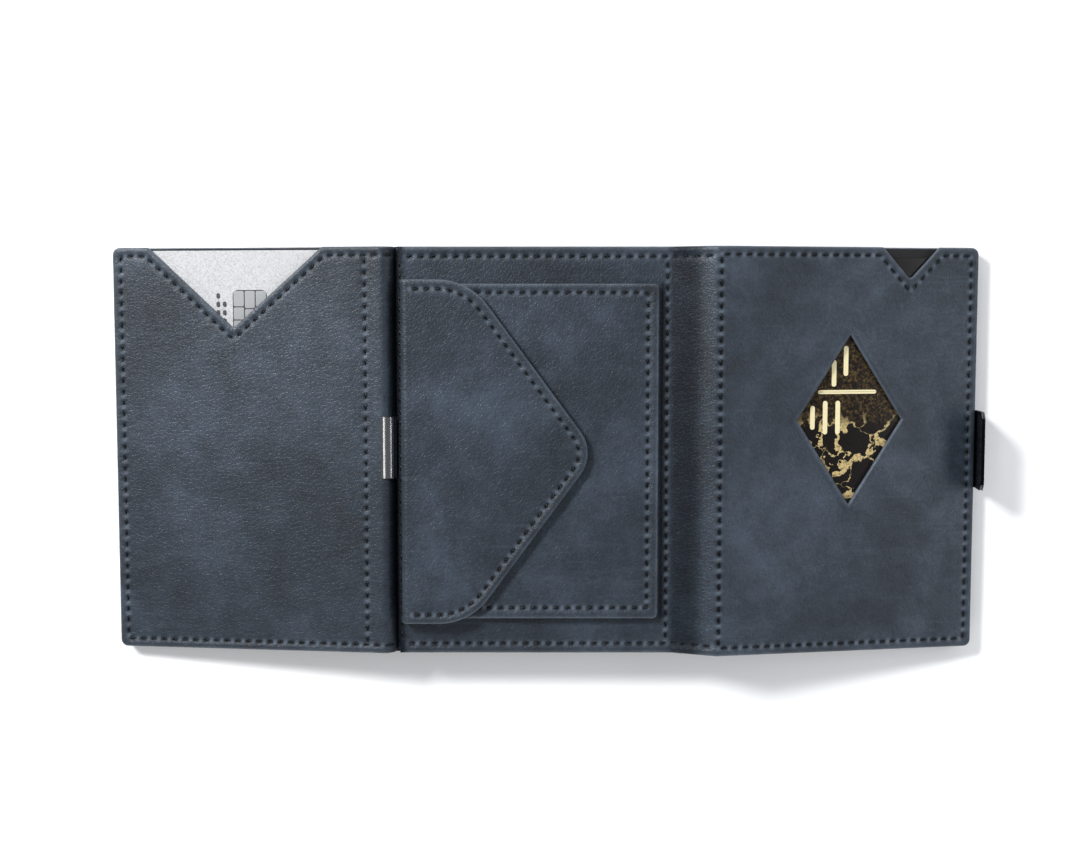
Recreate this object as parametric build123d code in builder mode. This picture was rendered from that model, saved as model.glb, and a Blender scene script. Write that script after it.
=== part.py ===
from build123d import *
import os
from math import asin, atan, cos, hypot, radians, sin

# Trifold leather wallet lying open, face up, seen as a low bridge: the free edges of
# the left and right panels stand on the table and the centre panel is held above it.
# Millimetres. X runs from the left panel to the right panel, Y up the panels, Z up.
os.makedirs("parts", exist_ok=True)

# ---------------------------------------------------------------- driving dimensions
HEIGHT = 92.0                 # every panel, along Y
CENTRE_BACK = 8.0             # underside of the centre panel above the table
BODY_SHIFT = 0.42             # moves the layout so that X = 0 is the middle of the box

SHELL = 1.2                   # outer leather
LINING = 0.35                 # black lining
FRONT = 0.95                  # pocket front leather
CORNER = 1.6                  # outer corners of the panels
EDGE = 0.4                    # gap from a crease line to the centre panel

CARD_WIDTH = 54.0             # bank card held upright
CARD_HEIGHT = 85.6
CARD_THICK = 0.76
CARD_CORNER = 3.2

# left panel, measured from its crease
LEFT_CREASE = -33.6 + BODY_SHIFT
LEFT_LENGTH = 66.06
LEFT_LIFT = 0.15              # its leather stands this far above the crease line
LEFT_POCKET_GAP = 0.95
LEFT_CARD_EDGE = -9.2         # the card's edge nearest the crease
LEFT_CARD_TOP = 45.3
NOTCH_LEFT = -57.6            # thumb notch of the left pocket
NOTCH_MID = -37.9
NOTCH_RIGHT = -17.2
NOTCH_DEPTH = 18.2
ROLL_END = -0.95              # rolled edge beside the crease

# centre panel
CENTRE_LEFT = LEFT_CREASE + EDGE
CENTRE_RIGHT = 26.1 + BODY_SHIFT
INNER_PANEL = 0.9
CENTRE_LINING = 0.3

# coin pocket on the centre panel
POCKET_LEFT = -30.0 + BODY_SHIFT
POCKET_RIGHT = 24.4 + BODY_SHIFT
POCKET_HALF = 37.7
POCKET_DEPTH = 1.1
POCKET_FRONT = 0.9
GUSSET_WIDTH = 2.0
POCKET_LINING = 0.2

# flap of the coin pocket
FLAP_HINGE = -32.7 + BODY_SHIFT
FLAP_SETBACK = 0.5
ROOT_WIDTH = 2.3
ROOT_LEATHER = 0.4
FLAP_HALF = 38.6
FLAP_SHOULDER = -17.9 + BODY_SHIFT
FLAP_POINT = 10.5 + BODY_SHIFT
FLAP_GAP = 0.5
FLAP_LINING = 0.4
FLAP_LEATHER = 0.9
SNAP_X = -1.5 + BODY_SHIFT
SNAP_RADIUS = 5.0

# right spine and right panel
SPINE_CREASE = 27.6 + BODY_SHIFT
SPINE_CREASE_HEIGHT = 9.3
SPINE_RISE = 22.0             # degrees, the spine climbs from the centre panel
SPINE_LENGTH = 9.3            # crease to crease
SPINE_BACK = -1.3             # back of the spine below its crease line
SPINE_OUTER = 1.1
SPINE_INNER = 1.1
RIGHT_LENGTH = 62.4
RIGHT_BACK = -1.75            # back of the right panel below its crease line
RIGHT_START = 1.5             # set back from the crease, so that the fold closes
RIGHT_SHELL = 1.15
RIGHT_POCKET_GAP = 1.0
RIGHT_FRONT = 1.0
RIGHT_CARD_EDGE = 4.0
RIGHT_CARD_TOP = 43.6
SMALL_NOTCH_LEFT = 39.4
SMALL_NOTCH_MID = 45.9
SMALL_NOTCH_RIGHT = 52.8
SMALL_NOTCH_DEPTH = 7.2
WINDOW_X = 31.9               # diamond window over the right card
WINDOW_Y = 7.1
WINDOW_HALF_WIDTH = 12.4
WINDOW_HALF_HEIGHT = 19.2

# steel lock: a clip round the rolled edge and a hook on the far edge of the right panel
CLIP_LENGTH = 13.8
CLIP_Y = 1.0
CLIP_STEEL = 0.5
CLIP_TOP_LEG = 3.3
CLIP_FOOT = 0.6               # lower end of the side leg above the crease line
HOOK_LENGTH = 17.8
HOOK_STEEL = 0.7
HOOK_WALL = 8.05
HOOK_LEAN = 17.0              # degrees, the wall leans over the panel
HOOK_LEG = 3.8

# ---------------------------------------------------------------- frames of the panels
# The left panel slopes from its crease to the table, and so does the right panel.
left_height = CENTRE_BACK - LEFT_LIFT
left_slope = asin(left_height / hypot(LEFT_LENGTH, LEFT_LIFT)) + atan(LEFT_LIFT / LEFT_LENGTH)
LEFT = Plane(
    origin=(LEFT_CREASE, 0, left_height),
    x_dir=(cos(left_slope), 0, sin(left_slope)),
    z_dir=(-sin(left_slope), 0, cos(left_slope)),
)
LEFT_SIDE = Plane(origin=LEFT.origin, x_dir=LEFT.x_dir, z_dir=(0, -1, 0))

spine_angle = radians(SPINE_RISE)
SPINE = Plane(
    origin=(SPINE_CREASE, 0, SPINE_CREASE_HEIGHT),
    x_dir=(cos(spine_angle), 0, sin(spine_angle)),
    z_dir=(-sin(spine_angle), 0, cos(spine_angle)),
)
right_crease_x = SPINE_CREASE + SPINE_LENGTH * cos(spine_angle)
right_crease_z = SPINE_CREASE_HEIGHT + SPINE_LENGTH * sin(spine_angle)
right_reach = hypot(RIGHT_LENGTH, RIGHT_BACK)
right_slope = asin(right_crease_z / right_reach) - atan(-RIGHT_BACK / RIGHT_LENGTH)
RIGHT = Plane(
    origin=(right_crease_x, 0, right_crease_z),
    x_dir=(cos(right_slope), 0, -sin(right_slope)),
    z_dir=(sin(right_slope), 0, cos(right_slope)),
)
RIGHT_SIDE = Plane(origin=RIGHT.origin, x_dir=RIGHT.x_dir, z_dir=(0, -1, 0))

# heights of the layers above each crease line, and above the table for the centre
left_lining_base = LEFT_LIFT + SHELL
left_gap_base = left_lining_base + LINING
left_front_base = left_gap_base + LEFT_POCKET_GAP
left_face = left_front_base + FRONT
right_lining_base = RIGHT_BACK + RIGHT_SHELL
right_gap_base = right_lining_base + LINING
right_front_base = right_gap_base + RIGHT_POCKET_GAP
right_face = right_front_base + RIGHT_FRONT
centre_lining_base = CENTRE_BACK + SHELL
inner_base = centre_lining_base + CENTRE_LINING
inner_face = inner_base + INNER_PANEL
pocket_base = inner_face + POCKET_DEPTH
pocket_face = pocket_base + POCKET_FRONT
flap_base = pocket_face + FLAP_GAP
flap_face = flap_base + FLAP_LINING + FLAP_LEATHER
MIN_X = (Align.MIN, Align.CENTER)
MAX_X = (Align.MAX, Align.CENTER)

# ---------------------------------------------------------------- centre panel
centre_width = CENTRE_RIGHT - CENTRE_LEFT

# outer leather of the centre panel
with BuildPart() as centre_outer_shell:
    with BuildSketch(Plane.XY.offset(CENTRE_BACK)):
        with Locations((CENTRE_LEFT, 0)):
            Rectangle(centre_width, HEIGHT, align=MIN_X)
    extrude(amount=SHELL)

# black lining between the outer leather and the inner panel
with BuildPart() as centre_lining:
    with BuildSketch(Plane.XY.offset(centre_lining_base)):
        with Locations((CENTRE_LEFT, 0)):
            Rectangle(centre_width, HEIGHT - 2, align=MIN_X)
    extrude(amount=CENTRE_LINING)

# inner leather panel that carries the coin pocket
with BuildPart() as centre_inner_panel:
    with BuildSketch(Plane.XY.offset(inner_base)):
        with Locations((CENTRE_LEFT, 0)):
            Rectangle(centre_width, HEIGHT, align=MIN_X)
    extrude(amount=INNER_PANEL)
    top_rim = centre_inner_panel.faces().sort_by(Axis.Z)[-1].edges().filter_by(Axis.X)
    fillet(top_rim, radius=0.35)

# ---------------------------------------------------------------- coin pocket
gusset_left = POCKET_LEFT - 0.4
gusset_right = POCKET_RIGHT - 0.2
gusset_half = POCKET_HALF - 0.2

# black lining on the floor of the coin pocket, inside the gusset
with BuildPart() as coin_pocket_lining:
    with BuildSketch(Plane.XY.offset(inner_face)):
        with Locations((gusset_left, 0)):
            Rectangle(
                gusset_right - gusset_left - GUSSET_WIDTH,
                2 * (gusset_half - GUSSET_WIDTH),
                align=MIN_X,
            )
    extrude(amount=POCKET_LINING)

# folded leather gusset on three sides of the coin pocket, open towards the flap's hinge
with BuildPart() as coin_pocket_gusset:
    with BuildSketch(Plane.XY.offset(inner_face)):
        with Locations((gusset_left, 0)):
            Rectangle(gusset_right - gusset_left, 2 * gusset_half, align=MIN_X)
            Rectangle(
                gusset_right - gusset_left - GUSSET_WIDTH,
                2 * (gusset_half - GUSSET_WIDTH),
                align=MIN_X,
                mode=Mode.SUBTRACT,
            )
    extrude(amount=POCKET_DEPTH)

# leather front of the coin pocket
with BuildPart() as coin_pocket_front:
    with BuildSketch(Plane.XY.offset(pocket_base)) as pocket_outline:
        with Locations((POCKET_LEFT, 0)):
            Rectangle(POCKET_RIGHT - POCKET_LEFT, 2 * POCKET_HALF, align=MIN_X)
        fillet(pocket_outline.vertices().group_by(Axis.X)[-1], radius=CORNER)
    extrude(amount=POCKET_FRONT)
    fillet(coin_pocket_front.faces().sort_by(Axis.Z)[-1].edges(), radius=0.35)

# foot of the flap's leather, sewn flat beside the mouth
with BuildPart() as flap_root_strip:
    with BuildSketch(Plane.XY.offset(inner_face)):
        with Locations((FLAP_HINGE - 0.4, 0)):
            Rectangle(ROOT_WIDTH, 2 * (FLAP_HALF - 1.0), align=MIN_X)
    extrude(amount=ROOT_LEATHER)

# part of the flap's leather that stands up from the foot and bends at both ends
riser_base = inner_face + ROOT_LEATHER + 0.3
with BuildPart() as flap_riser:
    with BuildSketch(Plane.XY.offset(riser_base)):
        with Locations((FLAP_HINGE, 0)):
            Rectangle(0.8, 2 * (FLAP_HALF - 1.0))
    extrude(amount=flap_base - 0.25 - riser_base)

# stud half of the hidden snap, on the pocket front
with BuildPart() as snap_stud:
    with BuildSketch(Plane.XY.offset(pocket_face)):
        with Locations((SNAP_X, 0)):
            Circle(SNAP_RADIUS)
    extrude(amount=0.12)
    with BuildSketch(Plane.XY.offset(pocket_face + 0.12)):
        with Locations((SNAP_X, 0)):
            Circle(0.4 * SNAP_RADIUS)
    extrude(amount=0.14)

# ---------------------------------------------------------------- flap
# outer leather of the flap: a pointed tongue with rounded shoulders and tip
with BuildPart() as flap_outer:
    with BuildSketch(Plane.XY.offset(flap_base + FLAP_LINING)) as flap_outline:
        with BuildLine():
            Polyline(
                (FLAP_HINGE + FLAP_SETBACK, -FLAP_HALF),
                (FLAP_SHOULDER, -FLAP_HALF),
                (FLAP_POINT, 0),
                (FLAP_SHOULDER, FLAP_HALF),
                (FLAP_HINGE + FLAP_SETBACK, FLAP_HALF),
                close=True,
            )
        make_face()
        fillet(flap_outline.vertices().group_by(Axis.X)[-1], radius=8.0)
        fillet(flap_outline.vertices().group_by(Axis.X)[1], radius=14.0)
    extrude(amount=FLAP_LEATHER)
    rim = flap_outer.faces().sort_by(Axis.Z)[-1].edges()
    fillet(rim.filter_by(lambda e: e.center().X > FLAP_HINGE + 1.0), radius=0.4)

# lining of the flap, a little smaller than its leather
with BuildPart() as flap_lining:
    with BuildSketch(Plane.XY.offset(flap_base)):
        with BuildSketch(mode=Mode.PRIVATE) as flap_copy:
            add(flap_outline.sketch.moved(Location((0, 0, -flap_base - FLAP_LINING))))
            offset(amount=-0.4)
        add(flap_copy.sketch)
    extrude(amount=FLAP_LINING)

# socket half of the hidden snap, under the flap
with BuildPart() as snap_socket:
    with BuildSketch(Plane.XY.offset(flap_base - 0.18)):
        with Locations((SNAP_X, 0)):
            Circle(SNAP_RADIUS + 0.2)
            Circle(0.5 * SNAP_RADIUS, mode=Mode.SUBTRACT)
    extrude(amount=0.18)

# ---------------------------------------------------------------- left panel
# outer leather of the left panel
with BuildPart() as left_outer_shell:
    with BuildSketch(LEFT.offset(LEFT_LIFT)) as left_outline:
        with Locations((ROLL_END, 0)):
            Rectangle(LEFT_LENGTH + ROLL_END, HEIGHT, align=MAX_X)
        fillet(left_outline.vertices().group_by(Axis.X)[0], radius=CORNER)
    extrude(amount=SHELL)

# black lining behind the left card
with BuildPart() as left_lining:
    with BuildSketch(LEFT.offset(left_lining_base)) as left_lining_outline:
        with Locations((-6.4, 0)):
            Rectangle(LEFT_LENGTH - 6.4 - 0.4, HEIGHT - 0.6, align=MAX_X)
        fillet(left_lining_outline.vertices().group_by(Axis.X)[0], radius=CORNER - 0.2)
    extrude(amount=LINING)

# turned leather edges that space the left pocket open on three sides
left_spacer_right = -5.9
left_spacer_left = -LEFT_LENGTH
left_slot_right = LEFT_CARD_EDGE + 0.5
left_slot_left = LEFT_CARD_EDGE - CARD_WIDTH - 0.5
left_slot_floor = LEFT_CARD_TOP - CARD_HEIGHT - 0.5
with BuildPart() as left_pocket_spacer:
    with BuildSketch(LEFT.offset(left_gap_base)) as left_spacer_outline:
        with Locations((left_spacer_left, 0)):
            Rectangle(left_spacer_right - left_spacer_left, HEIGHT, align=MIN_X)
        fillet(left_spacer_outline.vertices().group_by(Axis.X)[0], radius=CORNER)
        with Locations((left_slot_left, left_slot_floor)):
            Rectangle(
                left_slot_right - left_slot_left,
                HEIGHT,
                align=(Align.MIN, Align.MIN),
                mode=Mode.SUBTRACT,
            )
    extrude(amount=LEFT_POCKET_GAP)

# leather front of the left pocket, with its thumb notch and its rolled edge
with BuildPart() as left_pocket_front:
    with BuildSketch(LEFT.offset(left_front_base)) as left_front_outline:
        with Locations((ROLL_END, 0)):
            Rectangle(LEFT_LENGTH + ROLL_END, HEIGHT, align=MAX_X)
        fillet(left_front_outline.vertices().group_by(Axis.X)[0], radius=CORNER)
        with BuildLine():
            Polyline(
                (NOTCH_LEFT, HEIGHT / 2),
                (NOTCH_MID, HEIGHT / 2 - NOTCH_DEPTH),
                (NOTCH_RIGHT, HEIGHT / 2),
                (NOTCH_MID, HEIGHT / 2 + 1),
                close=True,
            )
        make_face(mode=Mode.SUBTRACT)
    extrude(amount=FRONT)
    with BuildSketch(LEFT.offset(left_lining_base)):
        with Locations((ROLL_END, 0)):
            Rectangle(0.95, HEIGHT, align=MAX_X)
    extrude(amount=left_front_base - left_lining_base)
    roll_edges = left_pocket_front.edges().filter_by(Axis.Y).sort_by(Axis.X)[-3:]
    fillet(roll_edges.sort_by(Axis.Z)[-1:], radius=0.8)

# stiff strip inside the rolled edge
with BuildPart() as spine_stiffener:
    with BuildSketch(LEFT.offset(left_lining_base)):
        with Locations((ROLL_END - 1.1, 0)):
            Rectangle(3.6, HEIGHT - 4, align=MAX_X)
    extrude(amount=left_front_base - left_lining_base - 0.05)

# bent steel clip over the rolled edge
with BuildPart() as spine_clip:
    with BuildSketch(LEFT_SIDE.offset(-CLIP_Y)) as clip_profile:
        with BuildLine():
            Polyline(
                (ROLL_END + CLIP_STEEL, CLIP_FOOT),
                (ROLL_END + CLIP_STEEL, left_face + CLIP_STEEL),
                (ROLL_END + CLIP_STEEL - CLIP_TOP_LEG, left_face + CLIP_STEEL),
                (ROLL_END + CLIP_STEEL - CLIP_TOP_LEG, left_face),
                (ROLL_END, left_face),
                (ROLL_END, CLIP_FOOT),
                close=True,
            )
        make_face()
    extrude(amount=CLIP_LENGTH / 2, both=True)
    fillet(spine_clip.edges().filter_by(Axis.Y).sort_by(Axis.Z)[-1:], radius=0.4)

# ---------------------------------------------------------------- left card
with BuildPart() as left_card_body:
    with BuildSketch(LEFT.offset(left_gap_base + 0.08)) as left_card_outline:
        with Locations((LEFT_CARD_EDGE, LEFT_CARD_TOP)):
            RectangleRounded(CARD_WIDTH, CARD_HEIGHT, CARD_CORNER, align=(Align.MAX, Align.MAX))
    extrude(amount=CARD_THICK)
    with BuildSketch(LEFT.offset(left_gap_base + 0.08 + CARD_THICK)):
        with Locations((NOTCH_MID + 3.7, LEFT_CARD_TOP - 14.2)):
            RectangleRounded(8.0, 10.6, 1.2)
    extrude(amount=-0.2, mode=Mode.SUBTRACT)

# contact plate of the card's chip
with BuildPart() as left_card_chip:
    with BuildSketch(LEFT.offset(left_gap_base + 0.08 + CARD_THICK - 0.2)):
        with Locations((NOTCH_MID + 3.7, LEFT_CARD_TOP - 14.2)):
            RectangleRounded(8.0, 10.6, 1.2)
    extrude(amount=0.2)

# ---------------------------------------------------------------- right spine
# outer and inner leather of the wide spine between the centre and the right panel
spine_start = 1.2
spine_end = SPINE_LENGTH - 0.5
with BuildPart() as right_spine_outer:
    with BuildSketch(SPINE.offset(SPINE_BACK)):
        with Locations((spine_start, 0)):
            Rectangle(spine_end - spine_start, HEIGHT, align=MIN_X)
    extrude(amount=SPINE_OUTER)

with BuildPart() as right_spine_inner:
    with BuildSketch(SPINE.offset(SPINE_BACK + SPINE_OUTER)):
        with Locations((spine_start, 0)):
            Rectangle(spine_end - spine_start, HEIGHT, align=MIN_X)
    extrude(amount=SPINE_INNER)

# ---------------------------------------------------------------- right panel
right_width = RIGHT_LENGTH - RIGHT_START

# outer leather of the right panel
with BuildPart() as right_outer_shell:
    with BuildSketch(RIGHT.offset(RIGHT_BACK)) as right_outline:
        with Locations((RIGHT_START, 0)):
            Rectangle(right_width, HEIGHT, align=MIN_X)
        fillet(right_outline.vertices().group_by(Axis.X)[-1], radius=CORNER)
    extrude(amount=RIGHT_SHELL)

# black lining behind the right card
with BuildPart() as right_lining:
    with BuildSketch(RIGHT.offset(right_lining_base)) as right_lining_outline:
        with Locations((RIGHT_START, 0)):
            Rectangle(right_width - 0.4, HEIGHT - 0.6, align=MIN_X)
        fillet(right_lining_outline.vertices().group_by(Axis.X)[-1], radius=CORNER - 0.2)
    extrude(amount=LINING)

# turned leather edges of the right pocket, cut away where the hook's leg is sewn in
right_slot_left = RIGHT_CARD_EDGE - 0.4
right_slot_right = RIGHT_CARD_EDGE + CARD_WIDTH + 0.4
right_slot_floor = RIGHT_CARD_TOP - CARD_HEIGHT - 0.5
hook_bend = RIGHT_LENGTH + 0.15
with BuildPart() as right_pocket_spacer:
    with BuildSketch(RIGHT.offset(right_gap_base)) as right_spacer_outline:
        with Locations((RIGHT_START, 0)):
            Rectangle(right_width, HEIGHT, align=MIN_X)
        fillet(right_spacer_outline.vertices().group_by(Axis.X)[-1], radius=CORNER)
        with Locations((right_slot_left, right_slot_floor)):
            Rectangle(
                right_slot_right - right_slot_left,
                HEIGHT,
                align=(Align.MIN, Align.MIN),
                mode=Mode.SUBTRACT,
            )
        with Locations((hook_bend - HOOK_LEG - 0.1, 0)):
            Rectangle(HOOK_LEG + 1, HOOK_LENGTH + 0.4, align=MIN_X, mode=Mode.SUBTRACT)
    extrude(amount=RIGHT_POCKET_GAP)

# leather front of the right pocket, with its small notch and diamond window
with BuildPart() as right_pocket_front:
    with BuildSketch(RIGHT.offset(right_front_base)) as right_front_outline:
        with Locations((RIGHT_START, 0)):
            Rectangle(right_width, HEIGHT, align=MIN_X)
        fillet(right_front_outline.vertices().group_by(Axis.X)[-1], radius=CORNER)
        with BuildLine():
            Polyline(
                (SMALL_NOTCH_LEFT, HEIGHT / 2),
                (SMALL_NOTCH_MID, HEIGHT / 2 - SMALL_NOTCH_DEPTH),
                (SMALL_NOTCH_RIGHT, HEIGHT / 2),
                (SMALL_NOTCH_MID, HEIGHT / 2 + 1),
                close=True,
            )
        make_face(mode=Mode.SUBTRACT)
        with BuildLine():
            Polyline(
                (WINDOW_X - WINDOW_HALF_WIDTH, WINDOW_Y),
                (WINDOW_X, WINDOW_Y - WINDOW_HALF_HEIGHT),
                (WINDOW_X + WINDOW_HALF_WIDTH, WINDOW_Y),
                (WINDOW_X, WINDOW_Y + WINDOW_HALF_HEIGHT),
                close=True,
            )
        make_face(mode=Mode.SUBTRACT)
    extrude(amount=RIGHT_FRONT)

# steel hook: a leg sewn into the panel's edge and a wall that leans over the panel
hook_lean = radians(HOOK_LEAN)
hook_floor = right_gap_base + 0.1
with BuildPart() as locking_hook:
    with BuildSketch(RIGHT_SIDE) as hook_profile:
        with BuildLine():
            Polyline(
                (hook_bend - HOOK_LEG, hook_floor),
                (hook_bend + HOOK_STEEL, hook_floor),
                (hook_bend + HOOK_STEEL, right_face),
                (
                    hook_bend + HOOK_STEEL - HOOK_WALL * sin(hook_lean),
                    right_face + HOOK_WALL * cos(hook_lean),
                ),
                (
                    hook_bend - HOOK_WALL * sin(hook_lean),
                    right_face + HOOK_WALL * cos(hook_lean),
                ),
                (hook_bend, right_face),
                (hook_bend, hook_floor + HOOK_STEEL),
                (hook_bend - HOOK_LEG, hook_floor + HOOK_STEEL),
                close=True,
            )
        make_face()
    extrude(amount=HOOK_LENGTH / 2, both=True)
    top_edges = locking_hook.faces().sort_by(Axis.Z)[-1].edges().filter_by(Axis.Y, reverse=True)
    chamfer(top_edges, length=1.6)

# ---------------------------------------------------------------- right card
with BuildPart() as right_card_body:
    with BuildSketch(RIGHT.offset(right_gap_base + 0.09)):
        with Locations((RIGHT_CARD_EDGE, RIGHT_CARD_TOP)):
            RectangleRounded(CARD_WIDTH, CARD_HEIGHT, CARD_CORNER, align=(Align.MIN, Align.MAX))
    extrude(amount=CARD_THICK)

# ---------------------------------------------------------------- labels and files
pieces = {
    "centre_outer_shell": centre_outer_shell,
    "centre_lining": centre_lining,
    "centre_inner_panel": centre_inner_panel,
    "coin_pocket_lining": coin_pocket_lining,
    "coin_pocket_gusset": coin_pocket_gusset,
    "coin_pocket_front": coin_pocket_front,
    "flap_root_strip": flap_root_strip,
    "flap_riser": flap_riser,
    "snap_stud": snap_stud,
    "flap_outer": flap_outer,
    "flap_lining": flap_lining,
    "snap_socket": snap_socket,
    "left_outer_shell": left_outer_shell,
    "left_lining": left_lining,
    "left_pocket_spacer": left_pocket_spacer,
    "left_pocket_front": left_pocket_front,
    "spine_stiffener": spine_stiffener,
    "spine_clip": spine_clip,
    "left_card_body": left_card_body,
    "left_card_chip": left_card_chip,
    "right_spine_outer": right_spine_outer,
    "right_spine_inner": right_spine_inner,
    "right_outer_shell": right_outer_shell,
    "right_lining": right_lining,
    "right_pocket_spacer": right_pocket_spacer,
    "right_pocket_front": right_pocket_front,
    "locking_hook": locking_hook,
    "right_card_body": right_card_body,
}
for piece_name, piece in pieces.items():
    piece.part.label = piece_name
    export_step(piece.part, f"parts/{piece_name}.step")

# crease lines, for the joints
print("left crease", LEFT.origin, "slope", left_slope)
print("spine crease", SPINE.origin)
print("right crease", RIGHT.origin, "slope", right_slope)
print("flap root bend", FLAP_HINGE, riser_base)
print("flap hinge", FLAP_HINGE, flap_base + (FLAP_LINING + FLAP_LEATHER) / 2)
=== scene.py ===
"""Trifold leather wallet, lying open: leather sheets, thread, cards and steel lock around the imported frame.

Lengths inside the classes are millimetres in the row's frame, and a mesh is turned into metres as it is
made. A leather sheet is cut flat, in s along the wallet and y up it, and then laid along a path.
"""
from __future__ import annotations

import logging
import math
from dataclasses import dataclass, field
from enum import Enum
from typing import Callable, Iterable, Sequence

import bpy
import numpy as np
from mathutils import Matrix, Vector


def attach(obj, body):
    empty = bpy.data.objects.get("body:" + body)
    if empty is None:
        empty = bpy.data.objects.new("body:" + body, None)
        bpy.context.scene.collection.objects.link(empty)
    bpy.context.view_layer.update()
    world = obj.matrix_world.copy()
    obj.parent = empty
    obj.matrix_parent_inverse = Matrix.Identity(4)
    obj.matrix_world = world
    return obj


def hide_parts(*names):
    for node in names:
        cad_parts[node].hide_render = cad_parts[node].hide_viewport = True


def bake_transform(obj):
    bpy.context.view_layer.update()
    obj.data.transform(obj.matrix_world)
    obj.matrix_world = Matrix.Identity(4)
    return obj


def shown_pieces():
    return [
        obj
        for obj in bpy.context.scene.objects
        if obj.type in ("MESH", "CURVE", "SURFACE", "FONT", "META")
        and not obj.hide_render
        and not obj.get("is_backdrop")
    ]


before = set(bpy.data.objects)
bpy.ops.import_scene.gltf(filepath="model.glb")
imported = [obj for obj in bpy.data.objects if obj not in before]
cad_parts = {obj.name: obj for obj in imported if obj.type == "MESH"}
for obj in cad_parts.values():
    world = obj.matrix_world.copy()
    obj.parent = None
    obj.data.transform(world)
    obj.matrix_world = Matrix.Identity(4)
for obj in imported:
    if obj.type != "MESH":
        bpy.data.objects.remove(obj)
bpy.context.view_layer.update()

LOG = logging.getLogger("wallet")
MM = 0.001
UV_SPAN = 100.0          # millimetres of leather to one unit of the cut UV map
RIM_TURNS = np.radians([0, 22.5, 45, 67.5])  # places of a rounded rim's columns on its quarter circle
BEND_STEPS = 14          # steps on each bend of a path
Array = np.ndarray


# ------------------------------------------------------------------------------ geometry in numpy
def rounded(points: Sequence[Sequence[float]], radii: Sequence[float] | float, steps: int = 8) -> Array:
    """Open polyline whose inner corners are circular arcs.

    Each corner is cut back on both sides by the radius times the tangent of half the turn, and an
    arc that touches both runs joins the two cuts.

    Args:
        points: corners of the polyline.
        radii: one radius for all the inner corners, or one for each.
        steps: points on each arc, less one.

    Returns:
        The points of the rounded line, one row each.
    """
    corners = np.asarray(points, float)
    sizes = np.broadcast_to(radii, len(corners) - 2)
    pieces = [corners[:1]]
    for before, corner, after, radius in zip(corners, corners[1:], corners[2:], sizes):
        back, on = before - corner, after - corner
        back, on = back / np.linalg.norm(back), on / np.linalg.norm(on)
        half_turn = (math.pi - math.acos(float(np.clip(back @ on, -1, 1)))) / 2
        if radius <= 0 or half_turn < 1e-4:
            pieces.append(corner[None])
            continue
        middle = (back + on) / np.linalg.norm(back + on)
        centre = corner + middle * radius / math.cos(half_turn)
        cut = radius * math.tan(half_turn)
        first, last = corner + back * cut - centre, corner + on * cut - centre
        start, end = math.atan2(first[1], first[0]), math.atan2(last[1], last[0])
        swing = (end - start + math.pi) % (2 * math.pi) - math.pi
        angle = start + np.linspace(0, swing, steps + 1)
        pieces.append(centre + radius * np.stack([np.cos(angle), np.sin(angle)], 1))
    pieces.append(corners[-1:])
    return np.concatenate(pieces)


def inset(points: Sequence[Sequence[float]], distance: float) -> Array:
    """Open polyline moved to its right by a distance, with mitred corners.

    Each corner moves along the sum of its two runs' right-hand normals, divided by one plus the
    cosine between them.

    Args:
        points: corners of the polyline.
        distance: how far each run moves.

    Returns:
        The corners of the moved line, one row each.
    """
    line = np.asarray(points, float)
    run = np.diff(line, axis=0)
    run /= np.linalg.norm(run, axis=1, keepdims=True)
    normal = np.stack([run[:, 1], -run[:, 0]], 1)
    before, after = np.vstack([normal[:1], normal]), np.vstack([normal, normal[-1:]])
    mitre = (before + after) / (1 + np.sum(before * after, axis=1, keepdims=True))
    return line + mitre * distance


def nearest(points: Array, line: Array) -> tuple[Array, Array]:
    """Distance of each point to a polyline, and the arc length where the line is nearest.

    A point is dropped square onto every run, the foot is kept within the run, and the shortest of
    these distances wins.

    Args:
        points: one row per point.
        line: corners of the polyline.

    Returns:
        The distances and the arc lengths, one number per point.
    """
    start, run = line[:-1], np.diff(line, axis=0)
    length = np.linalg.norm(run, axis=1)
    so_far = np.concatenate([[0.0], np.cumsum(length)])[:-1]
    best, arc = np.full(len(points), np.inf), np.zeros(len(points))
    for a, d, size, before in zip(start, run, length, so_far):
        along = np.clip((points - a) @ d / size**2, 0, 1)
        gap = np.linalg.norm(points - a - along[:, None] * d, axis=1)
        closer = gap < best
        best[closer], arc[closer] = gap[closer], (before + along * size)[closer]
    return best, arc


def graded(low: float, high: float, step: float, rim: float, also: Iterable[float] = ()) -> Array:
    """Places from low to high: even steps, with the steps of a quarter circle in a rim at each end.

    Args:
        low: first place.
        high: last place.
        step: size of an even step.
        rim: width of the rims.
        also: places that are kept exactly; an even step that comes too close to one is left out.

    Returns:
        The places in order.
    """
    edge = rim * (1 - np.cos(RIM_TURNS))
    inside = np.linspace(low + rim, high - rim, max(2, round((high - low - 2 * rim) / step) + 1))
    places = np.concatenate([low + edge, inside, high - edge])
    fixed = np.array([x for x in also if low < x < high])
    if len(fixed):
        too_close = 0.35 * step
        keep = np.min(np.abs(places[:, None] - fixed), axis=1) > too_close
        keep |= (places < low + rim) | (places > high - rim)
        places = np.concatenate([places[keep], fixed])
    return np.unique(np.round(places, 6))


def rows_between(low: Array, high: Array, step: float, rim: float) -> Array:
    """Rows that share out the span from low to high in every column, with a rim at both ends.

    Args:
        low: lowest place of each column.
        high: highest place of each column.
        step: size of an even step in the longest column.
        rim: width of the rims.

    Returns:
        The places, rows by columns.
    """
    edge = (rim * (1 - np.cos(RIM_TURNS)))[:, None]
    span = high - low - 2 * rim
    share = np.linspace(0, 1, int(round(span.max() / step)) + 1)[:, None]
    return np.concatenate([low + edge, low + rim + share * span, (high - edge)[::-1]])


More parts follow.
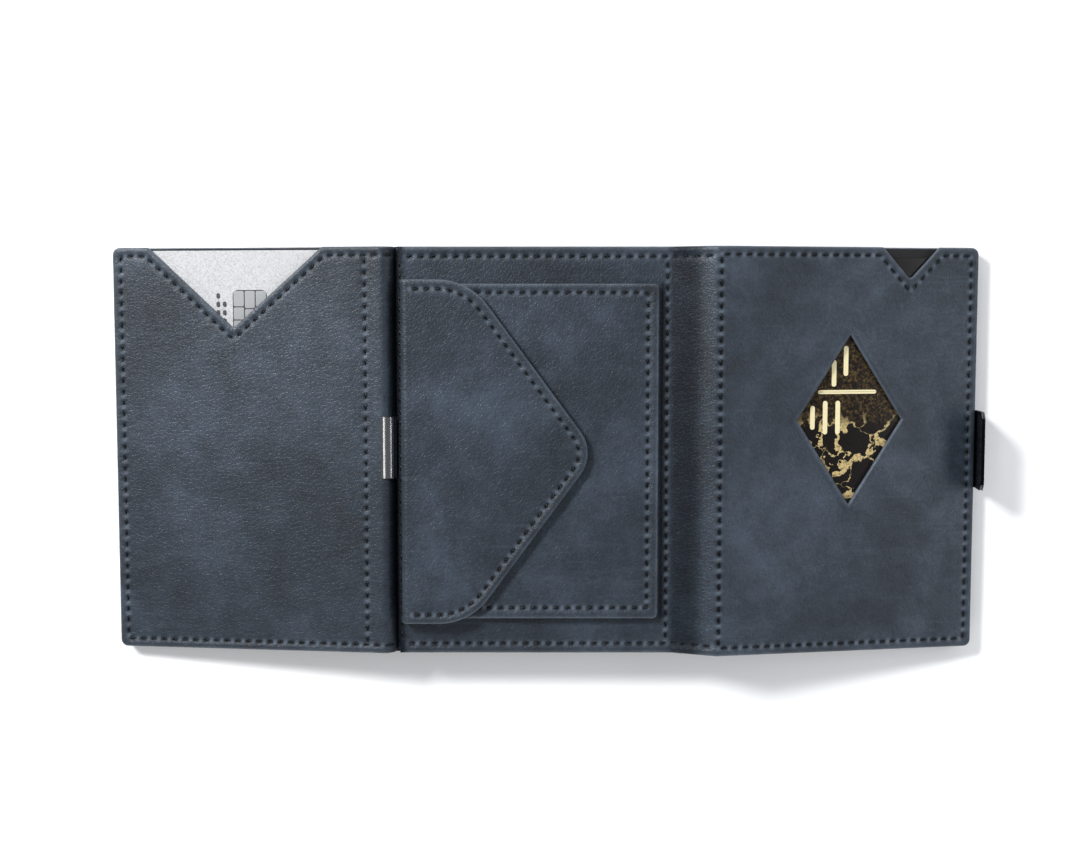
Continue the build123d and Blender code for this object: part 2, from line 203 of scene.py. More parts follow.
def cut_pattern(blocks: Sequence[tuple[Array, Array]]) -> tuple[Array, Array]:
    """One flat pattern of quads from grids of s and y, welded where they share points.

    Args:
        blocks: pairs of equal arrays, s and y at each row and column.

    Returns:
        The points, and the quads with their upper side on the left of each edge.
    """
    points, quads, used = [], [], 0
    for s, y in blocks:
        number = np.arange(s.size).reshape(s.shape) + used
        quad = np.stack([number[:-1, :-1], number[:-1, 1:], number[1:, 1:], number[1:, :-1]], -1)
        points.append(np.stack([s.ravel(), y.ravel()], 1))
        quads.append(quad.reshape(-1, 4))
        used += s.size
    flat, faces = np.concatenate(points), np.concatenate(quads)
    _, first, same = np.unique(np.round(flat, 4), axis=0, return_index=True, return_inverse=True)
    flat, faces = flat[first], same.ravel()[faces]
    a, b, c, d = (flat[faces[:, k]] for k in range(4))
    twist = (c - a)[:, 0] * (d - b)[:, 1] - (c - a)[:, 1] * (d - b)[:, 0]
    if twist.sum() < 0:
        faces = faces[:, ::-1]
    return flat, faces[np.abs(twist) > 1e-7]


def rim_edges(quads: Array) -> Array:
    """Directed edges of the quads that no other quad shares the other way round.

    Args:
        quads: vertex numbers, one row per quad.

    Returns:
        First and second vertex number of each edge.
    """
    edge = np.concatenate([quads[:, [k, (k + 1) % 4]] for k in range(4)])
    edge = edge[edge[:, 0] != edge[:, 1]]
    size = int(edge.max()) + 1
    forward, backward = edge[:, 0] * size + edge[:, 1], edge[:, 1] * size + edge[:, 0]
    return edge[~np.isin(forward, backward)]


def hump(s: Array, middle: float, width: float) -> Array:
    """Bell curve: e to the minus square of the distance from the middle in widths."""
    return np.exp(-(((s - middle) / width) ** 2))


def fade(s: Array, middle: float, width: float) -> Array:
    """Smooth step from 0 to 1 about the middle, or from 1 to 0 where the width is negative."""
    return 1 / (1 + np.exp(-(s - middle) / width))


def make_object(name: str, points: Array, faces: Sequence[Array], uv: Array | None = None,
                values: dict[str, Array] | None = None, sharp: float = 38.0) -> bpy.types.Object:
    """Mesh object from millimetre points and arrays of faces, smooth up to a sharp angle.

    Args:
        name: name of the piece.
        points: one row per vertex, in millimetres of the row's frame.
        faces: arrays of vertex numbers, one row per face, all of one width in each array.
        uv: a UV place for each vertex.
        values: float attributes, one number per vertex.
        sharp: edges that turn more than these degrees are creased.

    Returns:
        The object, linked to the scene, at the origin.
    """
    mesh = bpy.data.meshes.new(name)
    corners = np.concatenate([f.ravel() for f in faces]).astype(np.int32)
    counts = np.concatenate([np.full(len(f), f.shape[1]) for f in faces]).astype(np.int32)
    mesh.vertices.add(len(points))
    mesh.vertices.foreach_set("co", (np.asarray(points) * MM).astype(np.float32).ravel())
    mesh.loops.add(len(corners))
    mesh.loops.foreach_set("vertex_index", corners)
    mesh.polygons.add(len(counts))
    starts = np.concatenate([[0], np.cumsum(counts)[:-1]]).astype(np.int32)
    mesh.polygons.foreach_set("loop_start", starts)
    mesh.polygons.foreach_set("use_smooth", np.ones(len(counts), bool))
    mesh.update(calc_edges=True)
    if uv is not None:
        layer = mesh.uv_layers.new(name="cut")
        layer.data.foreach_set("uv", uv[corners].astype(np.float32).ravel())
    for key, value in (values or {}).items():
        store = mesh.attributes.new(key, "FLOAT", "POINT")
        store.data.foreach_set("value", np.asarray(value, np.float32))
    mesh.validate()
    mesh.set_sharp_from_angle(angle=math.radians(sharp))
    piece = bpy.data.objects.new(name, mesh)
    bpy.context.scene.collection.objects.link(piece)
    return piece


@dataclass(frozen=True)
class Tilt:
    """Frame of a panel: its crease line in X and Z, and how far its own x axis turns up from +X."""

    x: float
    z: float
    angle: float

    def at(self, along: Array | float, up: Array | float) -> Array:
        """Place in X and Z of a point given along the panel and up from its crease line."""
        cos, sin = math.cos(self.angle), math.sin(self.angle)
        return np.stack([self.x + cos * np.asarray(along) - sin * np.asarray(up),
                         self.z + sin * np.asarray(along) + cos * np.asarray(up)], -1)

    def place(self, along: Array, y: Array, up: Array) -> Array:
        """Row-frame points of points given along, across and up from the panel."""
        flat = self.at(along, up)
        return np.stack([flat[..., 0], np.broadcast_to(y, flat.shape[:-1]), flat[..., 1]], -1)


class Path:
    """Line in X and Z that a sheet is laid along, with arcs at its bends."""

    def __init__(self, points: Sequence[Sequence[float]], radii: Sequence[float] | float) -> None:
        """Rounds the corners and measures the line.

        Args:
            points: corners of the line in X and Z.
            radii: one radius for all the bends, or one for each.
        """
        self.line = rounded(points, radii, steps=BEND_STEPS)
        run = np.diff(self.line, axis=0)
        length = np.linalg.norm(run, axis=1)
        self.line = self.line[np.concatenate([[True], length > 1e-9])]
        run, length = run[length > 1e-9], length[length > 1e-9]
        self.arc = np.concatenate([[0.0], np.cumsum(length)])
        self.middle = (self.arc[:-1] + self.arc[1:]) / 2
        self.heading = np.unwrap(np.arctan2(run[:, 1], run[:, 0]))

    @property
    def length(self) -> float:
        """Length of the line."""
        return float(self.arc[-1])

    def place(self, s: Array, y: Array, height: Array) -> Array:
        """Row-frame points of a place on the flat pattern.

        Args:
            s: arc length; past an end, the line runs on straight.
            y: place across the line.
            height: distance square off the line, to its left.

        Returns:
            X, Y and Z in the last axis.
        """
        inside = np.clip(s, 0, self.length)
        x, z = (np.interp(inside, self.arc, self.line[:, k]) for k in (0, 1))
        turn = np.interp(inside, self.middle, self.heading)
        over = s - inside
        x, z = x + over * np.cos(turn), z + over * np.sin(turn)
        across = np.broadcast_to(y, x.shape)
        return np.stack([x - height * np.sin(turn), across, z + height * np.cos(turn)], -1)

    def s_at(self, point: Sequence[float]) -> float:
        """Arc length of the line's nearest place to a point in X and Z."""
        return float(nearest(np.asarray([point], float), self.line)[1][0])


@dataclass
class Seam:
    """Row of stitches through a sheet, along a line in s and y.

    The leather sinks in a groove along the row. It is pulled down most in the middle of a stitch,
    and stands up between two stitches, so the depth follows a cosine of the arc length.
    """

    line: Array
    pitch: float = 2.5
    length: float = 2.0
    radius: float = 0.23
    slant: float = 9.0           # degrees that each stitch leans across the row
    groove: float = 0.06
    groove_width: float = 0.55
    pull: float = 0.20
    press_width: float = 0.42
    bow: float = 0.06            # how far the middle of a stitch stands over the leather
    dive: float = 0.30           # how far its ends go down from there

    def centres(self) -> tuple[Array, Array]:
        """Middles of the stitches, shared out evenly along the line.

        Returns:
            Place and heading of each stitch in s and y.
        """
        run = np.diff(self.line, axis=0)
        size = np.linalg.norm(run, axis=1)
        arc = np.concatenate([[0.0], np.cumsum(size)])
        count = max(1, int(arc[-1] / self.pitch))
        where = (np.arange(count) + 0.5) * arc[-1] / count
        place = np.stack([np.interp(where, arc, self.line[:, k]) for k in (0, 1)], 1)
        which = np.clip(np.searchsorted(arc, where) - 1, 0, len(run) - 1)
        return place, run[which] / size[which, None]

    def sink(self, points: Array) -> tuple[Array, Array, Array]:
        """What the stitches do to the leather.

        Args:
            points: s and y, one row per point.

        Returns:
            How far the leather sinks, how dark it is painted in the groove, and how much it stands up
            between two stitches, one number per point. The dark groove is partly the pressed leather's own
            darkening and partly painted shade in the stitch holes.
        """
        gap, arc = nearest(points, self.line)
        total = float(np.linalg.norm(np.diff(self.line, axis=0), axis=1).sum())
        step = total / max(1, int(total / self.pitch))
        beat = 0.5 - 0.5 * np.cos(2 * math.pi * arc / step)
        near = hump(gap, 0.0, self.groove_width)
        # dark groove: the pressed leather's own darkening, with painted shade in the stitch holes
        pressed_and_shade = hump(gap, 0.0, self.press_width) * np.clip(3 * beat - 0.3, 0, 1)
        return near * (self.groove + self.pull * beat), pressed_and_shade, near * (1 - beat)


def stitch_form() -> tuple[Array, list[Array]]:
    """One stitch: a short thread, bowed up in the middle and thinner at its ends.

    Five rings of six points stand along the thread, and a point closes each end. Along is from -1
    to 1, across and up are in thread radii.

    Returns:
        The points, and the arrays of four-sided and three-sided faces.
    """
    stations = np.array([-0.86, -0.5, 0.0, 0.5, 0.86])
    turn = np.arange(6) * math.pi / 3
    girth = np.sqrt(1 - stations**4)[:, None]
    along = np.broadcast_to(stations[:, None], (5, 6))
    ring = np.stack([along, girth * np.cos(turn), girth * np.sin(turn)], -1)
    points = np.concatenate([ring.reshape(-1, 3), [[-1.0, 0, 0], [1.0, 0, 0]]])
    first = (np.arange(4)[:, None] * 6 + np.arange(6)).ravel()
    after = (np.arange(4)[:, None] * 6 + (np.arange(6) + 1) % 6).ravel()
    quads = np.stack([first, after, after + 6, first + 6], 1)
    side = np.arange(6)
    caps = np.concatenate([np.stack([np.full(6, 30), (side + 1) % 6, side], 1),
                           np.stack([np.full(6, 31), 24 + side, 24 + (side + 1) % 6], 1)])
    return points, [quads[:, ::-1], caps[:, ::-1]]


@dataclass
class Sheet:
    """Piece of leather: a flat pattern with a thickness, laid along a path.

    The upper side is the thickness, less the fall of its rounded edges, less the seams, plus the
    piece's own swell. An edge falls as a quarter circle of half the thickness.
    """

    name: str
    path: Path
    blocks: Sequence[tuple[Array, Array]]
    edges: Sequence[Array]
    thickness: float
    seams: Sequence[Seam] = ()
    seams_below: Sequence[Seam] = ()
    swell: Callable[[Array], Array] | None = None
    # painted shade: how much darker the leather is painted, given s and y
    shade: Callable[[Array], Array] | None = None
    round_off: float = 0.48      # radius of the rim as a share of the thickness
    bead: float = 0.13           # fullness that the turned edge gives the rim
    bead_place: float = 0.95     # its distance from the edge
    bead_width: float = 0.6
    rub_width: float = 0.4       # how far in from the edge the wax is worn paler, with a painted highlight
    uv_start: float = 0.0
    points: Array = field(init=False)
    quads: Array = field(init=False)

    def __post_init__(self) -> None:
        """Cuts the pattern."""
        self.points, self.quads = cut_pattern(self.blocks)

    def heights(self, points: Array) -> tuple[Array, Array, Array, Array]:
        """Both sides of the leather over the path, and its wear, painted highlights and painted shade.

        Args:
            points: s and y, one row per point.

        Returns:
            Upper height, lower height, wear with painted highlights, and the seams' pressing with painted
            shade, one number per point.
        """
        gap = np.full(len(points), np.inf)
        for edge in self.edges:
            gap = np.minimum(gap, nearest(points, edge)[0])
        half = self.round_off * self.thickness
        inside = np.clip(half - gap, 0, half)
        fall = half - np.sqrt(np.maximum(half**2 - inside**2, 0))
        bead = self.bead * hump(gap, self.bead_place, self.bead_width)
        top = self.thickness - fall + bead
        low = fall.copy()
        pressed_and_shade, proud = np.zeros(len(points)), np.zeros(len(points))
        for seam in self.seams:
            sink, near, stands = seam.sink(points)
            top, pressed_and_shade, proud = top - sink, np.maximum(pressed_and_shade, near), np.maximum(proud, stands)
        for seam in self.seams_below:
            low = low + seam.sink(points)[0]
        if self.swell is not None:
            top = top + self.swell(points)
        # paler rim: worn wax with a painted highlight; paler leather between the stitches: a painted
        # highlight
        wear_and_highlight = 0.5 * hump(gap, 0.0, self.rub_width) + 0.8 * proud
        # painted shade darkens the colour and takes the painted highlights off where it falls
        if self.shade is not None:
            dark = self.shade(points)
            pressed_and_shade, wear_and_highlight = np.maximum(pressed_and_shade, dark), wear_and_highlight * (1 - dark)
        return top, low, np.clip(wear_and_highlight, 0, 1), pressed_and_shade

    def build(self) -> bpy.types.Object:
        """Lays the pattern along the path.

        Returns:
            Closed mesh of the sheet, with its cut UV map, and attributes for its wear with painted
            highlights and for its pressed seams with painted shade.
        """
        top, low, wear_and_highlight, pressed_and_shade = self.heights(self.points)
        s, y = self.points.T
        rim = rim_edges(self.quads)
        count = len(s)
        points = np.concatenate([self.path.place(s, y, top), self.path.place(s, y, low)])
        walls = np.stack([rim[:, 0], rim[:, 0] + count, rim[:, 1] + count, rim[:, 1]], 1)
        uv = np.stack([s + self.uv_start, y], 1) / UV_SPAN
        faces = [self.quads, self.quads[:, ::-1] + count, walls]
        values = {"wear_and_highlight": np.tile(wear_and_highlight, 2), "pressed_and_shade": np.tile(pressed_and_shade, 2)}
        return make_object(self.name, points, faces, np.tile(uv, (2, 1)), values)

    def thread(self, below: bool = False) -> bpy.types.Object:
        """Sets a stitch at each place of every seam, leaning across the row and bowed along the leather.

        Args:
            below: whether the stitches are on the under side.

        Returns:
            All the stitches of that side as one object.
        """
        form, form_faces = stitch_form()
        points, uvs, total = [], [], 0
        for seam in self.seams_below if below else self.seams:
            place, heading = seam.centres()
            tilt = math.radians(seam.slant)
            along = np.stack([heading[:, 0] * math.cos(tilt) - heading[:, 1] * math.sin(tilt),
                              heading[:, 0] * math.sin(tilt) + heading[:, 1] * math.cos(tilt)], 1)
            across = np.stack([-along[:, 1], along[:, 0]], 1)
            top, low, _, _ = self.heights(place)
            flat = (place[:, None] + along[:, None] * form[None, :, :1] * seam.length / 2
                    + across[:, None] * form[None, :, 1:2] * seam.radius)
            rise = form[:, 2] * seam.radius + seam.bow - seam.dive * form[:, 0] ** 2
            height = (low[:, None] - rise) if below else (top[:, None] + rise)
            points.append(self.path.place(flat[..., 0], flat[..., 1], height).reshape(-1, 3))
            uvs.append(np.tile(form[:, :2], (len(place), 1)))
            total += len(place)
        shift = (np.arange(total) * len(form))[:, None, None]
        faces = [(f[None] + shift).reshape(-1, f.shape[1]) for f in form_faces]
        if below:
            faces = [f[:, ::-1] for f in faces]
        name = f"{self.name}_{'back_thread' if below else 'thread'}"
        return make_object(name, np.concatenate(points), faces, np.concatenate(uvs), sharp=80.0)


def prism(name: str, profile: Array, tilt: Tilt, low: float, high: float, step: float = 2.0,
          chamfer: Callable[[Array, Array], Array] | None = None) -> bpy.types.Object:
    """Closed profile in a panel's own along and up, drawn out along Y and capped at both ends.

    Args:
        name: name of the piece.
        profile: closed outline, one row per point, without repeating the first.
        tilt: the panel's frame.
        low: Y of one end.
        high: Y of the other end.
        step: length of a section.
        chamfer: new Y for each point, given the profile point's height and its Y.

    Returns:
        The object.
    """
    y = graded(low, high, step, 0.01)
    along, rise = np.broadcast_arrays(profile[None, :, 0], y[:, None])[0], profile[None, :, 1]
    rise = np.broadcast_to(rise, along.shape)
    across = np.broadcast_to(y[:, None], along.shape)
    if chamfer is not None:
        across = chamfer(rise, across)
    points = tilt.place(along, across, rise).reshape(-1, 3)
    rows, cols = along.shape
    number = np.arange(rows * cols).reshape(rows, cols)
    after = np.roll(number, -1, axis=1)
    quads = np.stack([number[:-1], after[:-1], after[1:], number[1:]], -1).reshape(-1, 4)
    following = np.roll(profile, -1, axis=0)
    twice_area = np.sum(profile[:, 0] * following[:, 1] - following[:, 0] * profile[:, 1])
    caps = np.stack([number[0], number[-1][::-1]])
    if twice_area <= 0:
        quads, caps = quads[:, ::-1], caps[:, ::-1]
    return make_object(name, points, [quads, caps], points[:, [0, 1]] / UV_SPAN)


def thick_line(line: Array, thickness: float) -> Array:
    """Closed outline of a strip: the line, and the line moved to its right, joined at the ends."""
    return np.concatenate([line, inset(line, thickness)[::-1]])


def plates(name: str, outlines: Array, tilt: Tilt, low: float, high: float) -> bpy.types.Object:
    """Thin flat pieces standing on a panel, all as one object.

    Args:
        name: name of the piece.
        outlines: pieces by points by two, along the panel and y, each outline anticlockwise.
        tilt: the panel's frame.
        low: height of the undersides.
        high: height of the upper sides, whose rims are drawn in by a third of the thickness.

    Returns:
        The object.
    """
    count, size = outlines.shape[:2]
    middle = outlines.mean(axis=1, keepdims=True)
    reach = np.abs(outlines - middle).max(axis=(1, 2), keepdims=True)
    break_in = (high - low) / 3
    drawn = middle + (outlines - middle) * (1 - break_in / reach)
    levels = [(outlines, low), (outlines, high - break_in), (drawn, high)]
    rings = [tilt.place(ring[..., 0], ring[..., 1], np.full(ring.shape[:2], up)) for ring, up in levels]
    points = np.stack(rings, 1).reshape(-1, 3)
    base = (np.arange(count) * 3 * size)[:, None]
    side = np.arange(size)
    wall = np.stack([side, (side + 1) % size, (side + 1) % size + size, side + size], 1)
    walls = np.concatenate([wall, wall + size])
    quads = (base[:, None] + walls[None]).reshape(-1, 4)
    tops, floors = base + side + 2 * size, (base + side)[:, ::-1]
    flat = np.concatenate([outlines, outlines, drawn], axis=1).reshape(-1, 2)
    return make_object(name, points, [quads, tops, floors], flat / UV_SPAN)


def round_rectangle(x: float, y: float, width: float, height: float, radius: float) -> Array:
    """Outline of a rectangle with round corners: a quarter circle, turned into each corner.

    Args:
        x: middle along the panel.
        y: middle across it.
        width: size along the panel.
        height: size across it.
        radius: radius of the corners.

    Returns:
        The points, anticlockwise.
    """
    turn = np.radians([0, 30, 60, 90])
    corner = np.stack([np.cos(turn), np.sin(turn)], 1) * radius
    signs = [(1, 1), (-1, 1), (-1, -1), (1, -1)]
    parts = []
    for quarter, (sx, sy) in enumerate(signs):
        spin = quarter * math.pi / 2
        arc = np.stack([corner[:, 0] * math.cos(spin) - corner[:, 1] * math.sin(spin),
                        corner[:, 0] * math.sin(spin) + corner[:, 1] * math.cos(spin)], 1)
        parts.append(arc + [x + sx * (width / 2 - radius), y + sy * (height / 2 - radius)])
    return np.concatenate(parts)


# ------------------------------------------------------------------------------ finishes
def linear(colour: str) -> tuple[float, float, float, float]:
    """Linear colour of an sRGB hex string, by the sRGB curve."""
    parts = [int(colour[k:k + 2], 16) / 255 for k in (1, 3, 5)]
    return (*(c / 12.92 if c <= 0.04045 else ((c + 0.055) / 1.055) ** 2.4 for c in parts), 1.0)


def add_node(tree: bpy.types.NodeTree, kind: str, settings: dict[str, object] | None = None,
             inputs: dict[str | int, object] | None = None) -> bpy.types.Node:
    """Adds a node with its settings and links.

    Args:
        tree: node tree that it joins.
        kind: Blender's name for the kind of node.
        settings: properties of the node.
        inputs: a value or another node's output for each input, by name or number.

    Returns:
        The node.
    """
    made = tree.nodes.new(kind)
    for key, value in (settings or {}).items():
        setattr(made, key, value)
    for key, value in (inputs or {}).items():
        if isinstance(value, bpy.types.NodeSocket):
            tree.links.new(value, made.inputs[key])
        else:
            made.inputs[key].default_value = value
    return made


class Coordinates(Enum):
    """What a pattern follows: the flat pattern that the leather was cut to, or the piece in space."""

    CUT = "cut"
    OBJECT = "object"


@dataclass(frozen=True)
class Finish:
    """Base of the finishes: a named material with a principled shader."""

    name: str

    def material(self) -> bpy.types.Material:
        """Makes the material the first time that it is asked for.

        Returns:
            The material, with its nodes.
        """
        known = bpy.data.materials.get(self.name)
        if known is not None:
            return known
        made = bpy.data.materials.new(self.name)
        made.use_nodes = True
        tree = made.node_tree
        tree.nodes.clear()
        shader = add_node(tree, "ShaderNodeBsdfPrincipled")
        add_node(tree, "ShaderNodeOutputMaterial", inputs={"Surface": shader.outputs[0]})
        self.paint(tree, shader)
        return made

    def paint(self, tree: bpy.types.NodeTree, shader: bpy.types.Node) -> None:
        """Builds the finish's nodes.

        Args:
            tree: the material's node tree.
            shader: the shader that the nodes feed.
        """
        raise NotImplementedError

    def millimetres(self, tree: bpy.types.NodeTree, coordinates: Coordinates) -> bpy.types.NodeSocket:
        """Coordinates in millimetres.

        Args:
            tree: the material's node tree.
            coordinates: whether they follow the cut pattern or the object.

        Returns:
            The socket that gives them.
        """
        if coordinates is Coordinates.CUT:
            source, scale = add_node(tree, "ShaderNodeUVMap", {"uv_map": "cut"}).outputs[0], UV_SPAN
        else:
            source, scale = add_node(tree, "ShaderNodeTexCoord").outputs["Object"], 1 / MM
        sized = add_node(tree, "ShaderNodeVectorMath", {"operation": "SCALE"}, {0: source, "Scale": scale})
        return sized.outputs[0]


@dataclass(frozen=True)
class WaxedLeather(Finish):
    """Pull-up cowhide, drum dyed slate blue and waxed.

    The wax lightens where the hide is bent or worn, so the leather is cloudy and paler on rolled
    edges, over a fine natural grain. The rims and the leather between the stitches also get a painted
    highlight. The seams are darker where pressed, with painted shade in the stitch holes, and painted
    shade also darkens the spine's fold and the leather beside the roll and the pocket.
    """

    dark: str = "#181E26"
    base: str = "#272F39"
    pale: str = "#3B4652"
    # colour of worn edges, also used for painted highlights on the rims and between the stitches
    rubbed_and_highlight: str = "#717D8A"
    # colour of the pressed seams, also used for painted shade in the stitch holes, the spine's fold and
    # beside the roll and the pocket
    seam: str = "#07090C"
    cloud: float = 30.0          # size of the cloudy patches
    mottle: float = 5.5          # size of the fine mottling
    grain: float = 0.45          # size of the hide's cells
    crease: float = 0.85         # size of the finest wrinkles
    spot: float = 0.9            # size of the dye's spots
    dent: float = 1.8            # size of the shallow dents
    roughness: tuple[float, float] = (0.38, 0.52)
    coordinates: Coordinates = Coordinates.CUT

    def paint(self, tree: bpy.types.NodeTree, shader: bpy.types.Node) -> None:
        """Clouds and mottling mix three shades; cells, wrinkles and scuffs make the bump.

        Args:
            tree: the material's node tree.
            shader: the shader that the nodes feed.
        """
        mm = self.millimetres(tree, self.coordinates)
        noise = "ShaderNodeTexNoise"
        clouds = add_node(tree, noise, inputs={"Vector": mm, "Scale": 1 / self.cloud, "Detail": 4.0,
                                               "Roughness": 0.55, "Distortion": 0.5}).outputs[0]
        mottle = add_node(tree, noise, inputs={"Vector": mm, "Scale": 1 / self.mottle, "Detail": 6.0,
                                               "Roughness": 0.62}).outputs[0]
        spots = add_node(tree, noise, inputs={"Vector": mm, "Scale": 1 / self.spot, "Detail": 3.0,
                                              "Roughness": 0.6}).outputs[0]
        blend = add_node(tree, "ShaderNodeMix", inputs={0: 0.36, 2: clouds, 3: mottle}).outputs[0]
        blend = add_node(tree, "ShaderNodeMix", inputs={0: 0.19, 2: blend, 3: spots}).outputs[0]
        ramp = add_node(tree, "ShaderNodeValToRGB", inputs={0: blend})
        first, last = ramp.color_ramp.elements
        first.position, first.color = 0.37, linear(self.dark)
        last.position, last.color = 0.66, linear(self.pale)
        ramp.color_ramp.elements.new(0.50).color = linear(self.base)
        colour = ramp.outputs[0]
        stretched = add_node(tree, "ShaderNodeMapping", inputs={"Vector": mm, "Rotation": (0, 0, 0.5),
                                                                "Scale": (0.05, 0.7, 0.2)}).outputs[0]
        scuff = add_node(tree, noise, inputs={"Vector": stretched, "Scale": 1.0,
                                              "Detail": 3.0}).outputs[0]
        scuffs = add_node(tree, "ShaderNodeMapRange", inputs={0: scuff, 1: 0.60, 2: 0.72}).outputs[0]
        faint = add_node(tree, "ShaderNodeMath", {"operation": "MULTIPLY"}, {0: scuffs, 1: 0.26}).outputs[0]
        colour = add_node(tree, "ShaderNodeMix", {"data_type": "RGBA"},
                          {0: faint, 6: colour, 7: linear(self.pale)}).outputs[2]
        if self.coordinates is Coordinates.CUT:
            # worn edges, with painted highlights on the rims and between the stitches
            wear_and_highlight = add_node(tree, "ShaderNodeAttribute", {"attribute_name": "wear_and_highlight"}).outputs["Fac"]
            broken = add_node(tree, "ShaderNodeMath", {"operation": "MULTIPLY"},
                              {0: wear_and_highlight, 1: mottle}).outputs[0]
            colour = add_node(tree, "ShaderNodeMix", {"data_type": "RGBA"},
                              {0: broken, 6: colour, 7: linear(self.rubbed_and_highlight)}).outputs[2]
            # painted shade: darkens the pressed seams, the stitch holes, the spine's fold and the leather
            # beside the roll and the pocket
            press_and_shade = add_node(tree, "ShaderNodeAttribute", {"attribute_name": "pressed_and_shade"}).outputs["Fac"]
            deep = add_node(tree, "ShaderNodeMath", {"operation": "MULTIPLY"},
                            {0: press_and_shade, 1: 0.85}).outputs[0]
            colour = add_node(tree, "ShaderNodeMix", {"data_type": "RGBA"},
                              {0: deep, 6: colour, 7: linear(self.seam)}).outputs[2]
            gloss = add_node(tree, "ShaderNodeMapRange", inputs={0: press_and_shade, 3: 0.40, 4: 0.04}).outputs[0]
            tree.links.new(gloss, shader.inputs["Specular IOR Level"])
        rough = add_node(tree, "ShaderNodeMapRange", inputs={0: blend, 1: 0.3, 2: 0.7, 3: self.roughness[1],
                                                            4: self.roughness[0]}).outputs[0]
        warp = add_node(tree, "ShaderNodeVectorMath", {"operation": "MULTIPLY_ADD"},
                        {0: add_node(tree, noise, inputs={"Vector": mm, "Scale": 0.9}).outputs[1],
                         1: (0.9, 0.9, 0.9), 2: mm}).outputs[0]
        voronoi = "ShaderNodeTexVoronoi"
        cells = add_node(tree, voronoi, {"feature": "SMOOTH_F1"},
                         {"Vector": warp, "Scale": 1 / self.grain, "Smoothness": 0.6}).outputs["Distance"]
        wrinkle = add_node(tree, voronoi, {"feature": "DISTANCE_TO_EDGE"},
                           {"Vector": warp, "Scale": 1 / self.crease}).outputs["Distance"]
        valley = add_node(tree, "ShaderNodeMapRange", inputs={0: wrinkle, 1: 0.0, 2: 0.12}).outputs[0]
        dents = add_node(tree, noise, inputs={"Vector": mm, "Scale": 1 / self.dent,
                                              "Detail": 5.0}).outputs[0]
        bump = "ShaderNodeBump"
        normal = add_node(tree, bump, inputs={"Strength": 0.55, "Distance": 0.16 * MM,
                                              "Height": dents}).outputs[0]
        normal = add_node(tree, bump, inputs={"Strength": 0.5, "Distance": 0.06 * MM, "Height": valley,
                                              "Normal": normal}).outputs[0]
        normal = add_node(tree, bump, {"invert": True},
                          {"Strength": 0.6, "Distance": 0.07 * MM, "Height": cells,
                           "Normal": normal}).outputs[0]
        tree.links.new(colour, shader.inputs["Base Color"])
        tree.links.new(rough, shader.inputs["Roughness"])
        tree.links.new(normal, shader.inputs["Normal"])


@dataclass(frozen=True)
class WaxedThread(Finish):
    """Bonded polyester thread, twisted from three plies and waxed: small slanting ridges, a dull shine."""

    colour: str = "#020304"
    pale: str = "#0A0D11"

    def paint(self, tree: bpy.types.NodeTree, shader: bpy.types.Node) -> None:
        """Slanting bands across the thread give the twist.

        Args:
            tree: the material's node tree.
            shader: the shader that the nodes feed.
        """
        uv = add_node(tree, "ShaderNodeUVMap", {"uv_map": "cut"}).outputs[0]
        wave = add_node(tree, "ShaderNodeTexWave", {"bands_direction": "DIAGONAL"},
                        {"Vector": uv, "Scale": 1.1, "Distortion": 0.4}).outputs["Fac"]
        colour = add_node(tree, "ShaderNodeMix", {"data_type": "RGBA"},
                          {0: wave, 6: linear(self.colour), 7: linear(self.pale)}).outputs[2]
        bump = add_node(tree, "ShaderNodeBump", inputs={"Strength": 0.5, "Distance": 0.06 * MM,
                                                        "Height": wave})
        tree.links.new(colour, shader.inputs["Base Color"])
        tree.links.new(bump.outputs[0], shader.inputs["Normal"])
        shader.inputs["Roughness"].default_value = 0.30
        shader.inputs["Specular IOR Level"].default_value = 0.22


@dataclass(frozen=True)
class WovenLining(Finish):
    """Black polyester lining, plain weave: crossing bands of thread, almost no shine."""

    colour: str = "#060607"
    pale: str = "#141416"
    thread: float = 0.4          # drawn twice as coarse as the real weave, so that it shows
    waves: float = 0.314         # scale at which the wave texture has one band to a millimetre

    def paint(self, tree: bpy.types.NodeTree, shader: bpy.types.Node) -> None:
        """Two sets of bands at right angles, the higher of which shows.

        Args:
            tree: the material's node tree.
            shader: the shader that the nodes feed.
        """
        mm = self.millimetres(tree, Coordinates.OBJECT)
        wave = {"Vector": mm, "Scale": self.waves / self.thread, "Distortion": 0.3}
        bands = [add_node(tree, "ShaderNodeTexWave", {"bands_direction": way}, wave).outputs["Fac"]
                 for way in ("X", "Y")]
        weave = add_node(tree, "ShaderNodeMath", {"operation": "MAXIMUM"},
                         {0: bands[0], 1: bands[1]}).outputs[0]
        colour = add_node(tree, "ShaderNodeMix", {"data_type": "RGBA"},
                          {0: weave, 6: linear(self.colour), 7: linear(self.pale)}).outputs[2]
        bump = add_node(tree, "ShaderNodeBump", inputs={"Strength": 0.5, "Distance": 0.08 * MM,
                                                        "Height": weave})
        tree.links.new(colour, shader.inputs["Base Color"])
        tree.links.new(bump.outputs[0], shader.inputs["Normal"])
        shader.inputs["Roughness"].default_value = 0.8


